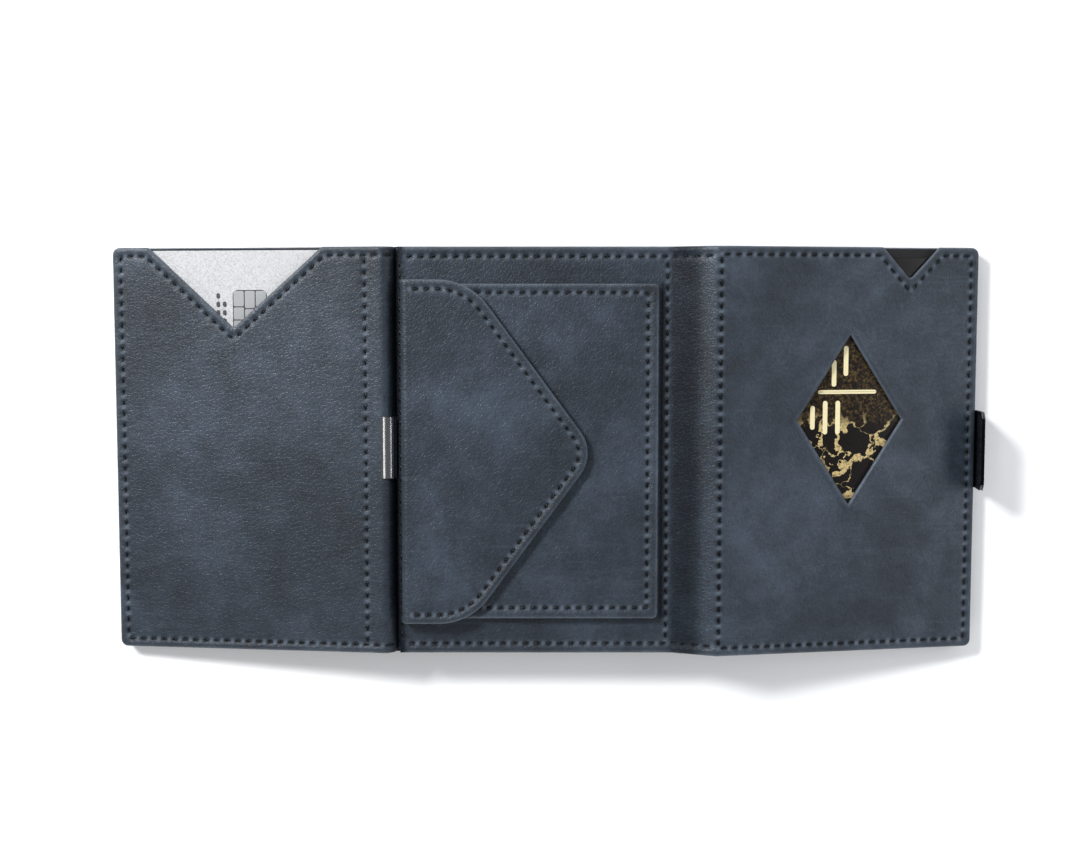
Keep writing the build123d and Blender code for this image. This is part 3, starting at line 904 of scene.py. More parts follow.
@dataclass(frozen=True)
class SilverCard(Finish):
    """PVC card printed with silver flake ink under a clear laminate: pale grey with a fine sparkle."""

    colour: str = "#AAABAD"
    bright: str = "#CFD0D2"
    flake: float = 0.20

    def paint(self, tree: bpy.types.NodeTree, shader: bpy.types.Node) -> None:
        """Each flake is a cell with its own shade and shine.

        Args:
            tree: the material's node tree.
            shader: the shader that the nodes feed.
        """
        mm = self.millimetres(tree, Coordinates.OBJECT)
        flakes = add_node(tree, "ShaderNodeTexVoronoi",
                          inputs={"Vector": mm, "Scale": 1 / self.flake}).outputs[1]
        shade = add_node(tree, "ShaderNodeSeparateColor", inputs={0: flakes}).outputs[0]
        amount = add_node(tree, "ShaderNodeMapRange", inputs={0: shade, 3: 0.0, 4: 0.5}).outputs[0]
        colour = add_node(tree, "ShaderNodeMix", {"data_type": "RGBA"},
                          {0: amount, 6: linear(self.colour), 7: linear(self.bright)}).outputs[2]
        rough = add_node(tree, "ShaderNodeMapRange", inputs={0: shade, 3: 0.25, 4: 0.55}).outputs[0]
        bump = add_node(tree, "ShaderNodeBump", inputs={"Strength": 0.25, "Distance": 0.03 * MM,
                                                        "Height": shade})
        tree.links.new(colour, shader.inputs["Base Color"])
        tree.links.new(rough, shader.inputs["Roughness"])
        tree.links.new(bump.outputs[0], shader.inputs["Normal"])
        shader.inputs["Metallic"].default_value = 0.15
        shader.inputs["Coat Weight"].default_value = 0.3
        shader.inputs["Coat Roughness"].default_value = 0.2


@dataclass(frozen=True)
class VeinedCard(Finish):
    """PVC card printed as dark stone under a gloss laminate: gold veins low down, bronze dust above."""

    colour: str = "#120D0B"
    gold: str = "#C3AE7A"
    bronze: str = "#5C4A28"
    split: float = 7.0           # y where the veins give way to the dust
    bare: float = 33.0           # y where the dust gives way to plain black

    def paint(self, tree: bpy.types.NodeTree, shader: bpy.types.Node) -> None:
        """Veins run where two warped cells meet, and give way to fine dust above the split.

        Args:
            tree: the material's node tree.
            shader: the shader that the nodes feed.
        """
        mm = self.millimetres(tree, Coordinates.OBJECT)
        noise, ramp, sums = "ShaderNodeTexNoise", "ShaderNodeMapRange", "ShaderNodeMath"
        push = add_node(tree, noise, inputs={"Vector": mm, "Scale": 0.35, "Detail": 5.0}).outputs[1]
        warp = add_node(tree, "ShaderNodeVectorMath", {"operation": "MULTIPLY_ADD"},
                        {0: push, 1: (7.0, 7.0, 0.0), 2: mm}).outputs[0]
        edge = add_node(tree, "ShaderNodeTexVoronoi", {"feature": "DISTANCE_TO_EDGE"},
                        {"Vector": warp, "Scale": 0.15}).outputs["Distance"]
        width = add_node(tree, noise, inputs={"Vector": mm, "Scale": 0.30, "Detail": 3.0}).outputs[0]
        reach = add_node(tree, ramp, inputs={0: width, 1: 0.42, 2: 0.72, 3: 0.006, 4: 0.16}).outputs[0]
        veins = add_node(tree, sums, {"operation": "LESS_THAN"}, {0: edge, 1: reach}).outputs[0]
        height = add_node(tree, "ShaderNodeSeparateXYZ", inputs={0: mm}).outputs[1]
        low = add_node(tree, ramp, inputs={0: height, 1: self.split + 2, 2: self.split - 2}).outputs[0]
        flecks = add_node(tree, noise, inputs={"Vector": mm, "Scale": 1.4, "Detail": 6.0,
                                               "Roughness": 0.75}).outputs[0]
        holes = add_node(tree, ramp, inputs={0: flecks, 1: 0.36, 2: 0.52}).outputs[0]
        gold = add_node(tree, sums, {"operation": "MULTIPLY"}, {0: veins, 1: low}).outputs[0]
        gold = add_node(tree, sums, {"operation": "MULTIPLY"}, {0: gold, 1: holes}).outputs[0]
        dust = add_node(tree, ramp, inputs={0: flecks, 1: 0.47, 2: 0.66}).outputs[0]
        end = add_node(tree, ramp, inputs={0: height, 1: self.bare + 3, 2: self.bare - 3}).outputs[0]
        high = add_node(tree, sums, {"operation": "SUBTRACT"}, {0: end, 1: low}).outputs[0]
        dust = add_node(tree, sums, {"operation": "MULTIPLY"}, {0: dust, 1: high}).outputs[0]
        colour = add_node(tree, "ShaderNodeMix", {"data_type": "RGBA"},
                          {0: dust, 6: linear(self.colour), 7: linear(self.bronze)}).outputs[2]
        colour = add_node(tree, "ShaderNodeMix", {"data_type": "RGBA"},
                          {0: gold, 6: colour, 7: linear(self.gold)}).outputs[2]
        tree.links.new(colour, shader.inputs["Base Color"])
        shader.inputs["Roughness"].default_value = 0.16


@dataclass(frozen=True)
class Steel(Finish):
    """Stainless strip, blanked, bent and drum polished: bright, with faint lines left by the rolling."""

    colour: str = "#C9CACB"
    roughness: float = 0.16
    line: float = 0.12           # width of a rolling line

    def paint(self, tree: bpy.types.NodeTree, shader: bpy.types.Node) -> None:
        """Long thin noise along Y shifts the roughness and the bump.

        Args:
            tree: the material's node tree.
            shader: the shader that the nodes feed.
        """
        mm = self.millimetres(tree, Coordinates.OBJECT)
        long = add_node(tree, "ShaderNodeMapping",
                        inputs={"Vector": mm, "Scale": (1.0, 0.04, 1.0)}).outputs[0]
        lines = add_node(tree, "ShaderNodeTexNoise", inputs={"Vector": long, "Scale": 1 / self.line,
                                                             "Detail": 3.0}).outputs[0]
        rough = add_node(tree, "ShaderNodeMapRange", inputs={0: lines, 3: self.roughness * 0.7,
                                                            4: self.roughness * 1.6}).outputs[0]
        bump = add_node(tree, "ShaderNodeBump", inputs={"Strength": 0.15, "Distance": 0.02 * MM,
                                                        "Height": lines})
        tree.links.new(rough, shader.inputs["Roughness"])
        tree.links.new(bump.outputs[0], shader.inputs["Normal"])
        shader.inputs["Base Color"].default_value = linear(self.colour)
        shader.inputs["Metallic"].default_value = 1.0


@dataclass(frozen=True)
class Print(Finish):
    """Ink or foil on a card: one shade, broken by the fine tooth of the card under it."""

    colour: str = "#D8CDA4"
    metallic: float = 0.0
    roughness: float = 0.4
    tooth: float = 1 / 6         # size of the tooth

    def paint(self, tree: bpy.types.NodeTree, shader: bpy.types.Node) -> None:
        """Fine noise varies the shade a little.

        Args:
            tree: the material's node tree.
            shader: the shader that the nodes feed.
        """
        mm = self.millimetres(tree, Coordinates.OBJECT)
        tooth = add_node(tree, "ShaderNodeTexNoise", inputs={"Vector": mm, "Scale": 1 / self.tooth,
                                                             "Detail": 2.0}).outputs[0]
        tone = add_node(tree, "ShaderNodeMapRange",
                        inputs={0: tooth, 1: 0.3, 2: 0.7, 3: 0.82, 4: 1.0}).outputs[0]
        colour = add_node(tree, "ShaderNodeVectorMath", {"operation": "SCALE"},
                          {0: linear(self.colour)[:3], "Scale": tone}).outputs[0]
        tree.links.new(colour, shader.inputs["Base Color"])
        shader.inputs["Metallic"].default_value = self.metallic
        shader.inputs["Roughness"].default_value = self.roughness


LEATHER = WaxedLeather("leather_cowhide_waxed_pull_up")
BACKING = WaxedLeather("leather_cowhide_skived_backing", roughness=(0.55, 0.7),
                       coordinates=Coordinates.OBJECT)
THREAD = WaxedThread("thread_polyester_bonded_waxed")
LINING = WovenLining("fabric_polyester_plain_weave")
SILVER = SilverCard("pvc_card_silver_flake_laminated")
VEINED = VeinedCard("pvc_card_stone_print_laminated")
POLISHED = Steel("steel_stainless_drum_polished")
# the hook's steel, painted dark for the shade and dark reflections on its edge-on wall
SHADED_STEEL = Steel("steel_stainless_painted_shade", colour="#26272B", roughness=0.22)
PLATED = Steel("steel_nickel_plated_pressed", colour="#8E8C88", roughness=0.3)
PADS = Print("palladium_plated_contacts", colour="#A4A6A8", metallic=0.3, roughness=0.35)
GAPS = Print("epoxy_glass_chip_carrier", colour="#2B2D2F", roughness=0.5)
CREAM = Print("foil_cream_hot_stamped", colour="#EFE2B4", metallic=0.1, roughness=0.35)
GREY_TIPS = Print("foil_grey_tipped_emboss", colour="#3A3C3E", roughness=0.45)
BOARD = Print("board_fibre_dyed_black", colour="#17181A", roughness=0.85)


# ------------------------------------------------------------------------------ the wallet
HALF = 46.0              # half the height of every panel
CORNER = 1.6             # radius of the panels' outer corners
CORNER_RUN = 4.0         # how far down its side the outline of a corner starts
# frames of the panels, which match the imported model's creases and slopes
LEFT = Tilt(-33.18, 7.85, 0.121383)
CENTRE = Tilt(0.0, 0.0, 0.0)
SPINE = Tilt(28.02, 9.3, math.radians(22))
RIGHT = Tilt(36.6428, 12.7838, -0.17821)
STEP = 0.47              # size of a leather sheet's quads
RIM = 0.45               # width of the rounded rim of a sheet
SPINE_MIDDLE = 4.65      # where two sheets meet on the spine, from its crease
SPINE_SHADE = 0.75         # how dark the painted shade in the spine's fold is


def meet(one: Tilt, over_one: float, other: Tilt, over_other: float) -> Array:
    """Place where a line over one panel crosses a line over another.

    Args:
        one: frame of the first panel.
        over_one: height of the line over it.
        other: frame of the second panel.
        over_other: height of the line over that.

    Returns:
        The place in X and Z.
    """
    start, goal = one.at(0, over_one), other.at(0, over_other)
    ahead, across = one.at(1, over_one) - start, other.at(1, over_other) - goal
    share = np.linalg.solve(np.stack([ahead, -across], 1), goal - start)
    return start + ahead * share[0]


def level(line: Array, s: Array) -> Array:
    """Height of an outline over each s, where the outline runs from left to right."""
    return np.interp(s, line[:, 0], line[:, 1])


class Assembly:
    """Base of the sub-assemblies: dresses each piece, and fastens the pieces that ride on one CAD body to it.
    """

    pieces: int = 0

    def fasten(self, piece: bpy.types.Object, finish: Finish, body: str, slot: str | None = None,
               replaced: Sequence[str] = ()) -> None:
        """Dresses a piece and lets it ride on one body."""
        self.dress(piece, finish, replaced)
        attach(piece, body)

    def bend(self, piece: bpy.types.Object, finish: Finish, bodies: tuple[str, str], start: Array,
             end: Array, slot: str | None = None, replaced: Sequence[str] = ()) -> None:
        """Dresses a piece and bakes its place into its mesh.

        Args:
            piece: the piece.
            finish: what it is made of.
            bodies: the bodies on either side of the bend; not used.
            start: X and Z where the bend starts; not used.
            end: X and Z where the bend ends; not used.
            slot: material slot; not used.
            replaced: CAD nodes that it stands for.
        """
        self.dress(piece, finish, replaced)
        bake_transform(piece)

    def dress(self, piece: bpy.types.Object, finish: Finish,
              replaced: Sequence[str]) -> None:
        """Puts the finish on and hides the CAD nodes that the piece stands for.

        Args:
            piece: the piece.
            finish: what it is made of.
            replaced: CAD nodes that it stands for.
        """
        piece.data.materials.clear()
        piece.data.materials.append(finish.material())
        if replaced:
            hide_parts(*replaced)
        self.pieces += 1

    def keep(self, node: str, finish: Finish, slot: str) -> None:
        """Dresses a CAD node that is shown as it is."""
        self.dress(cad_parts[node], finish, ())


@dataclass
class LeftPanel(Assembly):
    """Panel with the big notch, the rolled edge and the left card's pocket."""

    length: float = 66.06
    roll: float = 1.9            # radius of the rolled edge
    roll_foot: float = 0.2       # where the roll ends above the crease line
    base: float = 2.65
    thickness: float = 0.95
    seam_in: float = 1.95
    roll_seam: float = 58.6      # s of the seam beside the roll
    notch: tuple[tuple[float, float], ...] = ((8.46, 46.0), (28.16, 27.8), (48.86, 46.0))
    body: str = "left_panel"

    def build(self) -> None:
        """Builds the leather, its thread, the roll's stiffener and the linings."""
        path = Path([LEFT.at(-self.length, self.base), LEFT.at(-self.roll, self.base),
                     LEFT.at(-self.roll, self.roll_foot)], self.roll)
        end, side = path.length, HALF - self.seam_in
        corners = [(0, HALF - CORNER_RUN), (0, HALF), *self.notch, (end, HALF)]
        top = rounded(corners, [CORNER, 0.5, 0.8, 0.5])
        foot = rounded([(0, CORNER_RUN - HALF), (0, -HALF), (end, -HALF)], CORNER)
        s = graded(0, end, STEP, RIM, [*path.arc[1:-1], *(x for x, _ in self.notch)])
        y = rows_between(level(foot[1:], s), level(top[1:], s), STEP, RIM)
        rim = np.concatenate([foot[::-1], top])
        last = end - 1.2
        inner = inset([(last, -HALF), (0, -HALF), (0, HALF), *self.notch, (last, HALF)], self.seam_in)
        seams = [Seam(rounded(inner, [0.8, 0.8, 0.4, 1.4, 0.6])),
                 Seam(np.array([(self.roll_seam, -side), (self.roll_seam, side)]))]
        sheet = Sheet("left_front_leather", path, [(np.broadcast_to(s, y.shape), y)], [rim], self.thickness,
                      seams, swell=self.swell, shade=self.shade, uv_start=-90.0)
        self.fasten(sheet.build(), LEATHER, self.body, "slate_leather", ["left_pocket_front"])
        self.fasten(sheet.thread(), THREAD, self.body)
        self.keep("left_pocket_spacer", BOARD, "board")
        self.keep("spine_stiffener", BOARD, "board")
        self.keep("left_lining", LINING, "black_lining")

    def shade(self, points: Array) -> Array:
        """Painted shade on the far side of the roll, which faces away from the light."""
        return 0.85 * fade(points[:, 0], 63.6, 0.45)

    def swell(self, points: Array) -> Array:
        """The leather stands up over the stiffener, and is a little full on the seam's other side."""
        s = points[:, 0]
        return 0.22 * hump(s, 61.8, 1.6) + 0.12 * hump(s, 54.5, 3.0)


@dataclass
class CentrePanel(Assembly):
    """Inner leather of the centre, which runs on over the crease to the middle of the wide spine."""

    left: float = -33.6
    base: float = 9.5
    thickness: float = 0.95
    middle: float = SPINE_MIDDLE
    seam_in: float = 2.2
    spine_seam: float = 60.4     # s of the seam beside the spine
    mouth_seam: float = 0.5      # s of the seam beside the roll
    crease: tuple[float, float] = (27.0, 29.4)  # X between which it bends

    def build(self) -> None:
        """Builds the leather and its thread, and dresses the lining."""
        bend = meet(CENTRE, self.base, SPINE, 0.0)
        path = Path([(self.left, self.base), bend, SPINE.at(self.middle, 0.0)], 3.0)
        end = path.length
        s = graded(0, end, STEP, RIM, path.arc[1:-1:2])
        s = np.concatenate([s[s < end - RIM], [end]])
        y = rows_between(np.full(len(s), -HALF), np.full(len(s), HALF), STEP, RIM)
        rims = [np.array([(0, side * HALF), (end, side * HALF)]) for side in (-1, 1)]
        rims.append(np.array([(0, -HALF), (0, HALF)]))
        row, reach = HALF - self.seam_in, HALF - 2.8
        seams = [Seam(np.array([(1.4, side * row), (end, side * row)])) for side in (-1, 1)]
        seams += [Seam(np.array([(at, -reach), (at, reach)])) for at in (self.spine_seam, self.mouth_seam)]
        sheet = Sheet("centre_inner_leather", path, [(np.broadcast_to(s, y.shape), y)], rims, self.thickness,
                      seams, swell=self.swell, shade=self.shade)
        across = [(x, self.base) for x in self.crease]
        bodies = ("center", "right_spine")
        self.bend(sheet.build(), LEATHER, bodies, *across, slot="slate_leather",
                  replaced=["centre_inner_panel", "right_spine_inner"])
        self.bend(sheet.thread(), THREAD, bodies, *across)
        self.keep("centre_lining", LINING, "black_lining")

    def shade(self, points: Array) -> Array:
        """Painted shade beside the roll and in the spine's fold, and the pocket's painted shadow beside it.

        Args:
            points: s and y, one row per point.

        Returns:
            How much painted shade darkens the leather, one number per point.
        """
        s, y = points.T
        # painted shadow of the pocket's edge on the leather beside it
        pocket_shadow = 0.85 * hump(s, 59.3, 0.5) * fade(np.abs(y), 37.9, -0.2)
        return SPINE_SHADE * fade(s, 61.3, 0.5) + 0.9 * fade(s, 1.3, -0.2) + pocket_shadow

    def swell(self, points: Array) -> Array:
        """The spine's leather bulges between its two seams."""
        return 0.10 * hump(points[:, 0], 63.4, 1.6)


@dataclass
class RightPanel(Assembly):
    """Panel with the diamond window, the small notch and the hook, from the middle of the spine on."""

    length: float = 62.4
    base: float = 0.75
    thickness: float = 0.95
    seam_in: float = 1.9
    spine_seam_in: float = 2.2
    split: float = 7.1           # y of the window's middle
    window: tuple[float, float, float] = (31.9, 12.4, 19.2)  # middle, half width and half height
    notch: tuple[tuple[float, float], ...] = ((39.4, 46.0), (45.9, 38.8), (52.8, 46.0))

    def build(self) -> None:
        """Builds the leather and its thread, and dresses the edges and the lining."""
        crest = meet(SPINE, 0.0, RIGHT, self.base)
        path = Path([SPINE.at(SPINE_MIDDLE, 0.0), crest, RIGHT.at(self.length, self.base)], 2.0)
        end, zero = path.length, path.length - self.length
        middle, half_width, half_height = self.window
        middle += zero
        notch = [(b + zero, y) for b, y in self.notch]
        top = rounded([(0, HALF), *notch, (end, HALF), (end, HALF - CORNER_RUN)], [0.5, 0.7, 0.5, CORNER])
        foot = rounded([(0, -HALF), (end, -HALF), (end, CORNER_RUN - HALF)], CORNER)
        marks = [middle - half_width, middle, middle + half_width, *(x for x, _ in notch)]
        s = graded(0, end, STEP, RIM, [*path.arc[1:-1:2], *marks])
        s = np.concatenate([[0.0], s[s > RIM]])
        gape = half_height * np.clip(1 - np.abs(s - middle) / half_width, 0, 1)
        rows = [rows_between(level(foot[:-1], s), self.split - gape, STEP, RIM),
                rows_between(self.split + gape, level(top[:-1], s), STEP, RIM)]
        diamond = np.array([(middle - half_width, self.split), (middle, self.split + half_height),
                            (middle + half_width, self.split), (middle, self.split - half_height),
                            (middle - half_width, self.split)])
        rim = np.concatenate([top, foot[::-1]])
        side, row, spine_row = zero + 1.6, HALF - self.seam_in, HALF - self.spine_seam_in
        inner = inset([(side, HALF + 1.0), *notch, (end, HALF), (end, -HALF), (side, -HALF)], self.seam_in)
        inner[0, 1] = inner[1, 1]
        seams = [Seam(rounded(inner, [0.4, 1.0, 0.4, 0.8, 0.8])),
                 Seam(np.array([(side, row), (side, -row)]))]
        seams += [Seam(np.array([(0, y), (side - 1.0, y)])) for y in (spine_row, -spine_row)]
        sheet = Sheet("right_front_leather", path, [(np.broadcast_to(s, y.shape), y) for y in rows],
                      [rim, diamond], self.thickness, seams, swell=self.swell, shade=self.shade,
                      uv_start=66.3)
        bodies, across = ("right_spine", "right_panel"), (SPINE.at(7.2, 0), RIGHT.at(1.6, self.base))
        self.bend(sheet.build(), LEATHER, bodies, *across, slot="slate_leather",
                  replaced=["right_pocket_front"])
        self.bend(sheet.thread(), THREAD, bodies, *across)
        self.keep("right_pocket_spacer", BOARD, "board")
        self.keep("right_lining", LINING, "black_lining")

    def shade(self, points: Array) -> Array:
        """Painted shade in the spine's fold, which fades out before the crest."""
        return SPINE_SHADE * fade(points[:, 0], 2.4, -0.7)

    def swell(self, points: Array) -> Array:
        """The leather is a little fuller over the card, round the window."""
        s, y = points.T
        return 0.15 * np.exp(-(((s - 36) / 14) ** 2 + ((y + 6) / 26) ** 2))


class FreeEnd(Enum):
    """End of a length of the outer leather that is free, with round corners and a seam."""

    LEFT = -1
    NEITHER = 0
    RIGHT = 1


@dataclass
class BackLeather(Assembly):
    """Outer leather: one hide in use, laid in three lengths that meet where nothing bends."""

    thickness: float = 1.15
    left_length: float = 66.06
    right_length: float = 62.4
    left_base: float = 0.15      # undersides over the crease lines, and over the table in the centre
    centre_base: float = 8.0
    spine_base: float = -1.3
    right_base: float = -1.75
    joint: float = -3.0          # X where the left and the centre length meet
    seam_in: float = 2.0
    step: float = 1.3 * STEP

    def build(self) -> None:
        """Builds the three lengths, each bending over one crease."""
        base = self.centre_base
        joint, middle = np.array([self.joint, base]), SPINE.at(SPINE_MIDDLE, self.spine_base)
        left = meet(LEFT, self.left_base, CENTRE, base)
        centre = meet(CENTRE, base, SPINE, self.spine_base)
        right = meet(SPINE, self.spine_base, RIGHT, self.right_base)
        start = LEFT.at(-self.left_length, self.left_base)
        far = RIGHT.at(self.right_length, self.right_base)
        self.lay("back_leather_left", [start, left, joint], 4.0, ("left_panel", "center"),
                 (LEFT.at(-2.4, 0.2), (-30.8, base)), ["left_outer_shell"], FreeEnd.LEFT)
        self.lay("back_leather_centre", [joint, centre, middle], 4.0, ("center", "right_spine"),
                 ((26.2, base), (29.8, base)), ["centre_outer_shell"], FreeEnd.NEITHER)
        self.lay("back_leather_right", [middle, right, far], 2.5, ("right_spine", "right_panel"),
                 (SPINE.at(6.6, self.spine_base), RIGHT.at(2.2, self.right_base)),
                 ["right_outer_shell", "right_spine_outer"], FreeEnd.RIGHT)

    def lay(self, name: str, points: Sequence[Array], radius: float, bodies: tuple[str, str],
            across: tuple[Array, Array], replaced: Sequence[str], free: FreeEnd) -> None:
        """Builds one length of the outer leather, stitched on its under side.

        The left fold turns by half a circle, so the left length is pared thin there: the upper side
        sinks by e to the minus fourth power of the distance from the crease, in widths.

        Args:
            name: name of the piece.
            points: corners of its underside in X and Z.
            radius: radius of its bend.
            bodies: the two bodies on either side of its bend; not used.
            across: where the bend starts and ends; not used.
            replaced: CAD nodes that it stands for.
            free: which of its ends is free.
        """
        path = Path(points, radius)
        end, row, crease = path.length, HALF - self.seam_in, path.s_at(points[1])
        s = graded(0, end, self.step, RIM, path.arc[1:-1:2])
        if free is not FreeEnd.LEFT:
            s = np.concatenate([[0.0], s[s > RIM]])
        if free is not FreeEnd.RIGHT:
            s = np.concatenate([s[s < end - RIM], [end]])
        if free is FreeEnd.NEITHER:
            outline = np.array([(0, -HALF), (end, -HALF)])
            rims = [outline, outline * [1, -1]]
            seams = [Seam(np.array([(0, y), (end, y)])) for y in (-row, row)]
        else:
            on_left = free is FreeEnd.LEFT
            if on_left:
                foot = rounded([(0, CORNER_RUN - HALF), (0, -HALF), (end, -HALF)], CORNER)
                outline, rim = foot[1:], np.concatenate([foot[::-1], foot * [1, -1]])
            else:
                foot = rounded([(0, -HALF), (end, -HALF), (end, CORNER_RUN - HALF)], CORNER)
                outline, rim = foot[:-1], np.concatenate([foot, foot[::-1] * [1, -1]])
            joined, sewn = (end, self.seam_in) if on_left else (0, end - self.seam_in)
            rims = [rim]
            seams = [Seam(rounded([(joined, -row), (sewn, -row), (sewn, row), (joined, row)], 1.0))]
        low = level(outline, s)
        y = rows_between(low, -low, self.step, RIM)

        def pared(flat: Array) -> Array:
            """Sinks the upper side over the crease."""
            return -0.87 * np.exp(-(((flat[:, 0] - crease) / 2.1) ** 4))

        sheet = Sheet(name, path, [(np.broadcast_to(s, y.shape), y)], rims, self.thickness,
                      seams_below=seams, swell=pared if free is FreeEnd.LEFT else None,
                      uv_start=300 + 140 * free.value)
        self.bend(sheet.build(), LEATHER, bodies, *across, slot="slate_leather", replaced=replaced)
        self.bend(sheet.thread(below=True), THREAD, bodies, *across)


@dataclass
class CoinPocket(Assembly):
    """Box pocket on the centre, with its folded edge and its flap."""

    left: float = -29.58
    right: float = 24.82
    half: float = 37.7
    corner: float = 1.2
    front_base: float = 11.5
    top_seam_in: float = 2.0
    seam_in: float = 2.5
    thickness: float = 0.92
    flap_root: float = -31.9
    riser_middle: float = 12.0
    foot_base: float = 11.3
    backing_base: float = 12.9
    flap_base: float = 13.3
    flap_half: float = 38.6
    shoulder: float = -17.48
    tip: float = 10.92
    shoulder_round: float = 14.0
    tip_round: float = 8.0
    flap_seam_in: float = 2.1

    def build(self) -> None:
        """Builds the pocket's front, its folded edge, the flap and the flap's root."""
        self.front()
        self.gusset()
        self.flap()
        self.keep("coin_pocket_lining", LINING, "black_lining")
        self.keep("snap_stud", PLATED, "snap_steel")
        self.keep("snap_socket", PLATED, "snap_steel")

    def front(self) -> None:
        """Builds the pocket's front, stitched on three sides."""
        path = Path([(self.left, self.front_base), (self.right, self.front_base)], 0.0)
        end = path.length
        top = rounded([(0, self.half), (end, self.half), (end, 0)], self.corner)
        s = graded(0, end, STEP, RIM)
        high = level(top[:-1], s)
        y = rows_between(-high, high, STEP, RIM)
        rim = np.concatenate([top, (top * [1, -1])[::-1], [(0, -self.half), (0, self.half)]])
        high_row, low_row, side = self.half - self.top_seam_in, self.seam_in - self.half, end - self.seam_in
        inner = rounded([(0, high_row), (side, high_row), (side, low_row), (0, low_row)], 0.6)
        sheet = Sheet("coin_pocket_front_leather", path, [(np.broadcast_to(s, y.shape), y)], [rim],
                      self.thickness, [Seam(inner)], uv_start=420.0)
        self.fasten(sheet.build(), LEATHER, "center", "slate_leather", ["coin_pocket_front"])
        self.fasten(sheet.thread(), THREAD, "center")

    def gusset(self) -> None:
        """Sweeps a strip folded in on itself round three sides of the pocket."""
        line = rounded([(self.left, self.half), (self.right, self.half), (self.right, -self.half),
                        (self.left, -self.half)], self.corner)
        share = np.linspace(0, 0.98, 40)[:, None]
        line = np.concatenate([line[0] + (line[1] - line[0]) * share, line[1:]])
        section = rounded([(1.9, 10.45), (0.0, 10.45), (0.05, 10.8), (0.5, 10.97), (0.05, 11.14),
                           (0.0, 11.5), (1.9, 11.5)], [0.3, 0.2, 0.2, 0.2, 0.3], 4)
        rings = np.stack([np.column_stack([inset(line, off), np.full(len(line), z)]) for off, z in section],
                         axis=1)
        rows, cols = rings.shape[:2]
        number = np.arange(rows * cols).reshape(rows, cols)
        after = np.roll(number, -1, axis=1)
        quads = np.stack([number[:-1], number[1:], after[1:], after[:-1]], -1).reshape(-1, 4)
        caps = np.stack([number[0], number[-1][::-1]])
        length = np.concatenate([[0], np.cumsum(np.linalg.norm(np.diff(line, axis=0), axis=1))])
        girth = np.arange(cols) * 0.3
        uv = np.stack(np.broadcast_arrays(length[:, None] + 500, girth[None]), -1).reshape(-1, 2) / UV_SPAN
        piece = make_object("coin_pocket_gusset_leather", rings.reshape(-1, 3), [quads, caps], uv)
        self.fasten(piece, LEATHER, "center", "slate_leather", ["coin_pocket_gusset"])

    def flap(self) -> None:
        """Builds the flap down to the middle of its riser, the backing, and the riser's foot."""
        root, base, half = self.flap_root, self.flap_base, self.flap_half
        path = Path([(root, self.riser_middle), (root, base), (self.tip, base)], 0.6)
        shift = path.length - self.tip
        sheet = self.flap_sheet("coin_flap_leather", path, shift, 0.0, self.thickness, True)
        bodies, across = ("flap_riser", "coin_flap"), ((root, 12.45), (root, 13.0))
        self.bend(sheet.build(), LEATHER, bodies, *across, slot="slate_leather", replaced=["flap_outer"])
        self.bend(sheet.thread(), THREAD, bodies, *across)
        margin, low = 0.35, self.backing_base
        under = Path([(root + 0.3, low), (self.tip - margin, low)], 0.0)
        shift = under.length - self.tip + margin
        backing = self.flap_sheet("coin_flap_backing", under, shift, margin, 0.42, False)
        self.fasten(backing.build(), BACKING, "coin_flap", "slate_leather", ["flap_lining"])
        foot = Path([(root + 1.5, self.foot_base), (root, self.foot_base), (root, self.riser_middle)], 0.6)
        s = np.unique(np.concatenate([np.linspace(0, foot.length, 14), foot.arc]))
        y = rows_between(np.full(len(s), -half), np.full(len(s), half), STEP, RIM)
        rims = [np.array([(0, side * half), (foot.length, side * half)]) for side in (-1, 1)]
        strip = Sheet("flap_root_leather", foot, [(np.broadcast_to(s, y.shape), y)], rims, self.thickness,
                      uv_start=600.0)
        self.bend(strip.build(), LEATHER, ("center", "flap_riser"), (root, 11.0), (root, 11.6),
                  slot="slate_leather", replaced=["flap_root_strip", "flap_riser"])

    def flap_sheet(self, name: str, path: Path, shift: float, margin: float, thickness: float,
                   sewn: bool) -> Sheet:
        """A sheet with the flap's outline, whose columns stand close together over the bend.

        Args:
            name: name of the piece.
            path: line it is laid along.
            shift: added to X to give s.
            margin: how far it stays inside the flap's own outline.
            thickness: of the leather.
            sewn: whether it has the seam.

        Returns:
            The sheet.
        """
        half, far, tip = self.flap_half - margin, self.shoulder + shift, self.tip + shift
        corners = [(0, half), (far, half), (tip - 0.1 * margin, 0), (far, -half), (0, -half)]
        shoulder, point = self.shoulder_round, self.tip_round
        rim = rounded(corners, [shoulder - margin, point - margin, shoulder - margin], 24)
        reach = rim[1:-1][::-1]
        y = graded(-half, half, STEP, RIM, [0.0])
        limit = np.interp(y, reach[:, 1], reach[:, 0])
        bend_end = 3.0
        near = np.linspace(0, bend_end, 22)
        first = np.broadcast_to(near[:, None], (len(near), len(y)))
        second = rows_between(np.full(len(y), bend_end), limit, STEP, RIM)
        blocks = [(grid, np.broadcast_to(y, grid.shape)) for grid in (first, second)]
        seam_in = self.flap_seam_in
        inner = inset(corners, seam_in)
        inner[0, 0] = inner[-1, 0] = 2.4
        radii = [shoulder - seam_in, point - seam_in, shoulder - seam_in]
        seams = [Seam(rounded(inner, radii, 20))] if sewn else []
        return Sheet(name, path, blocks, [rim], thickness, seams, uv_start=540.0)


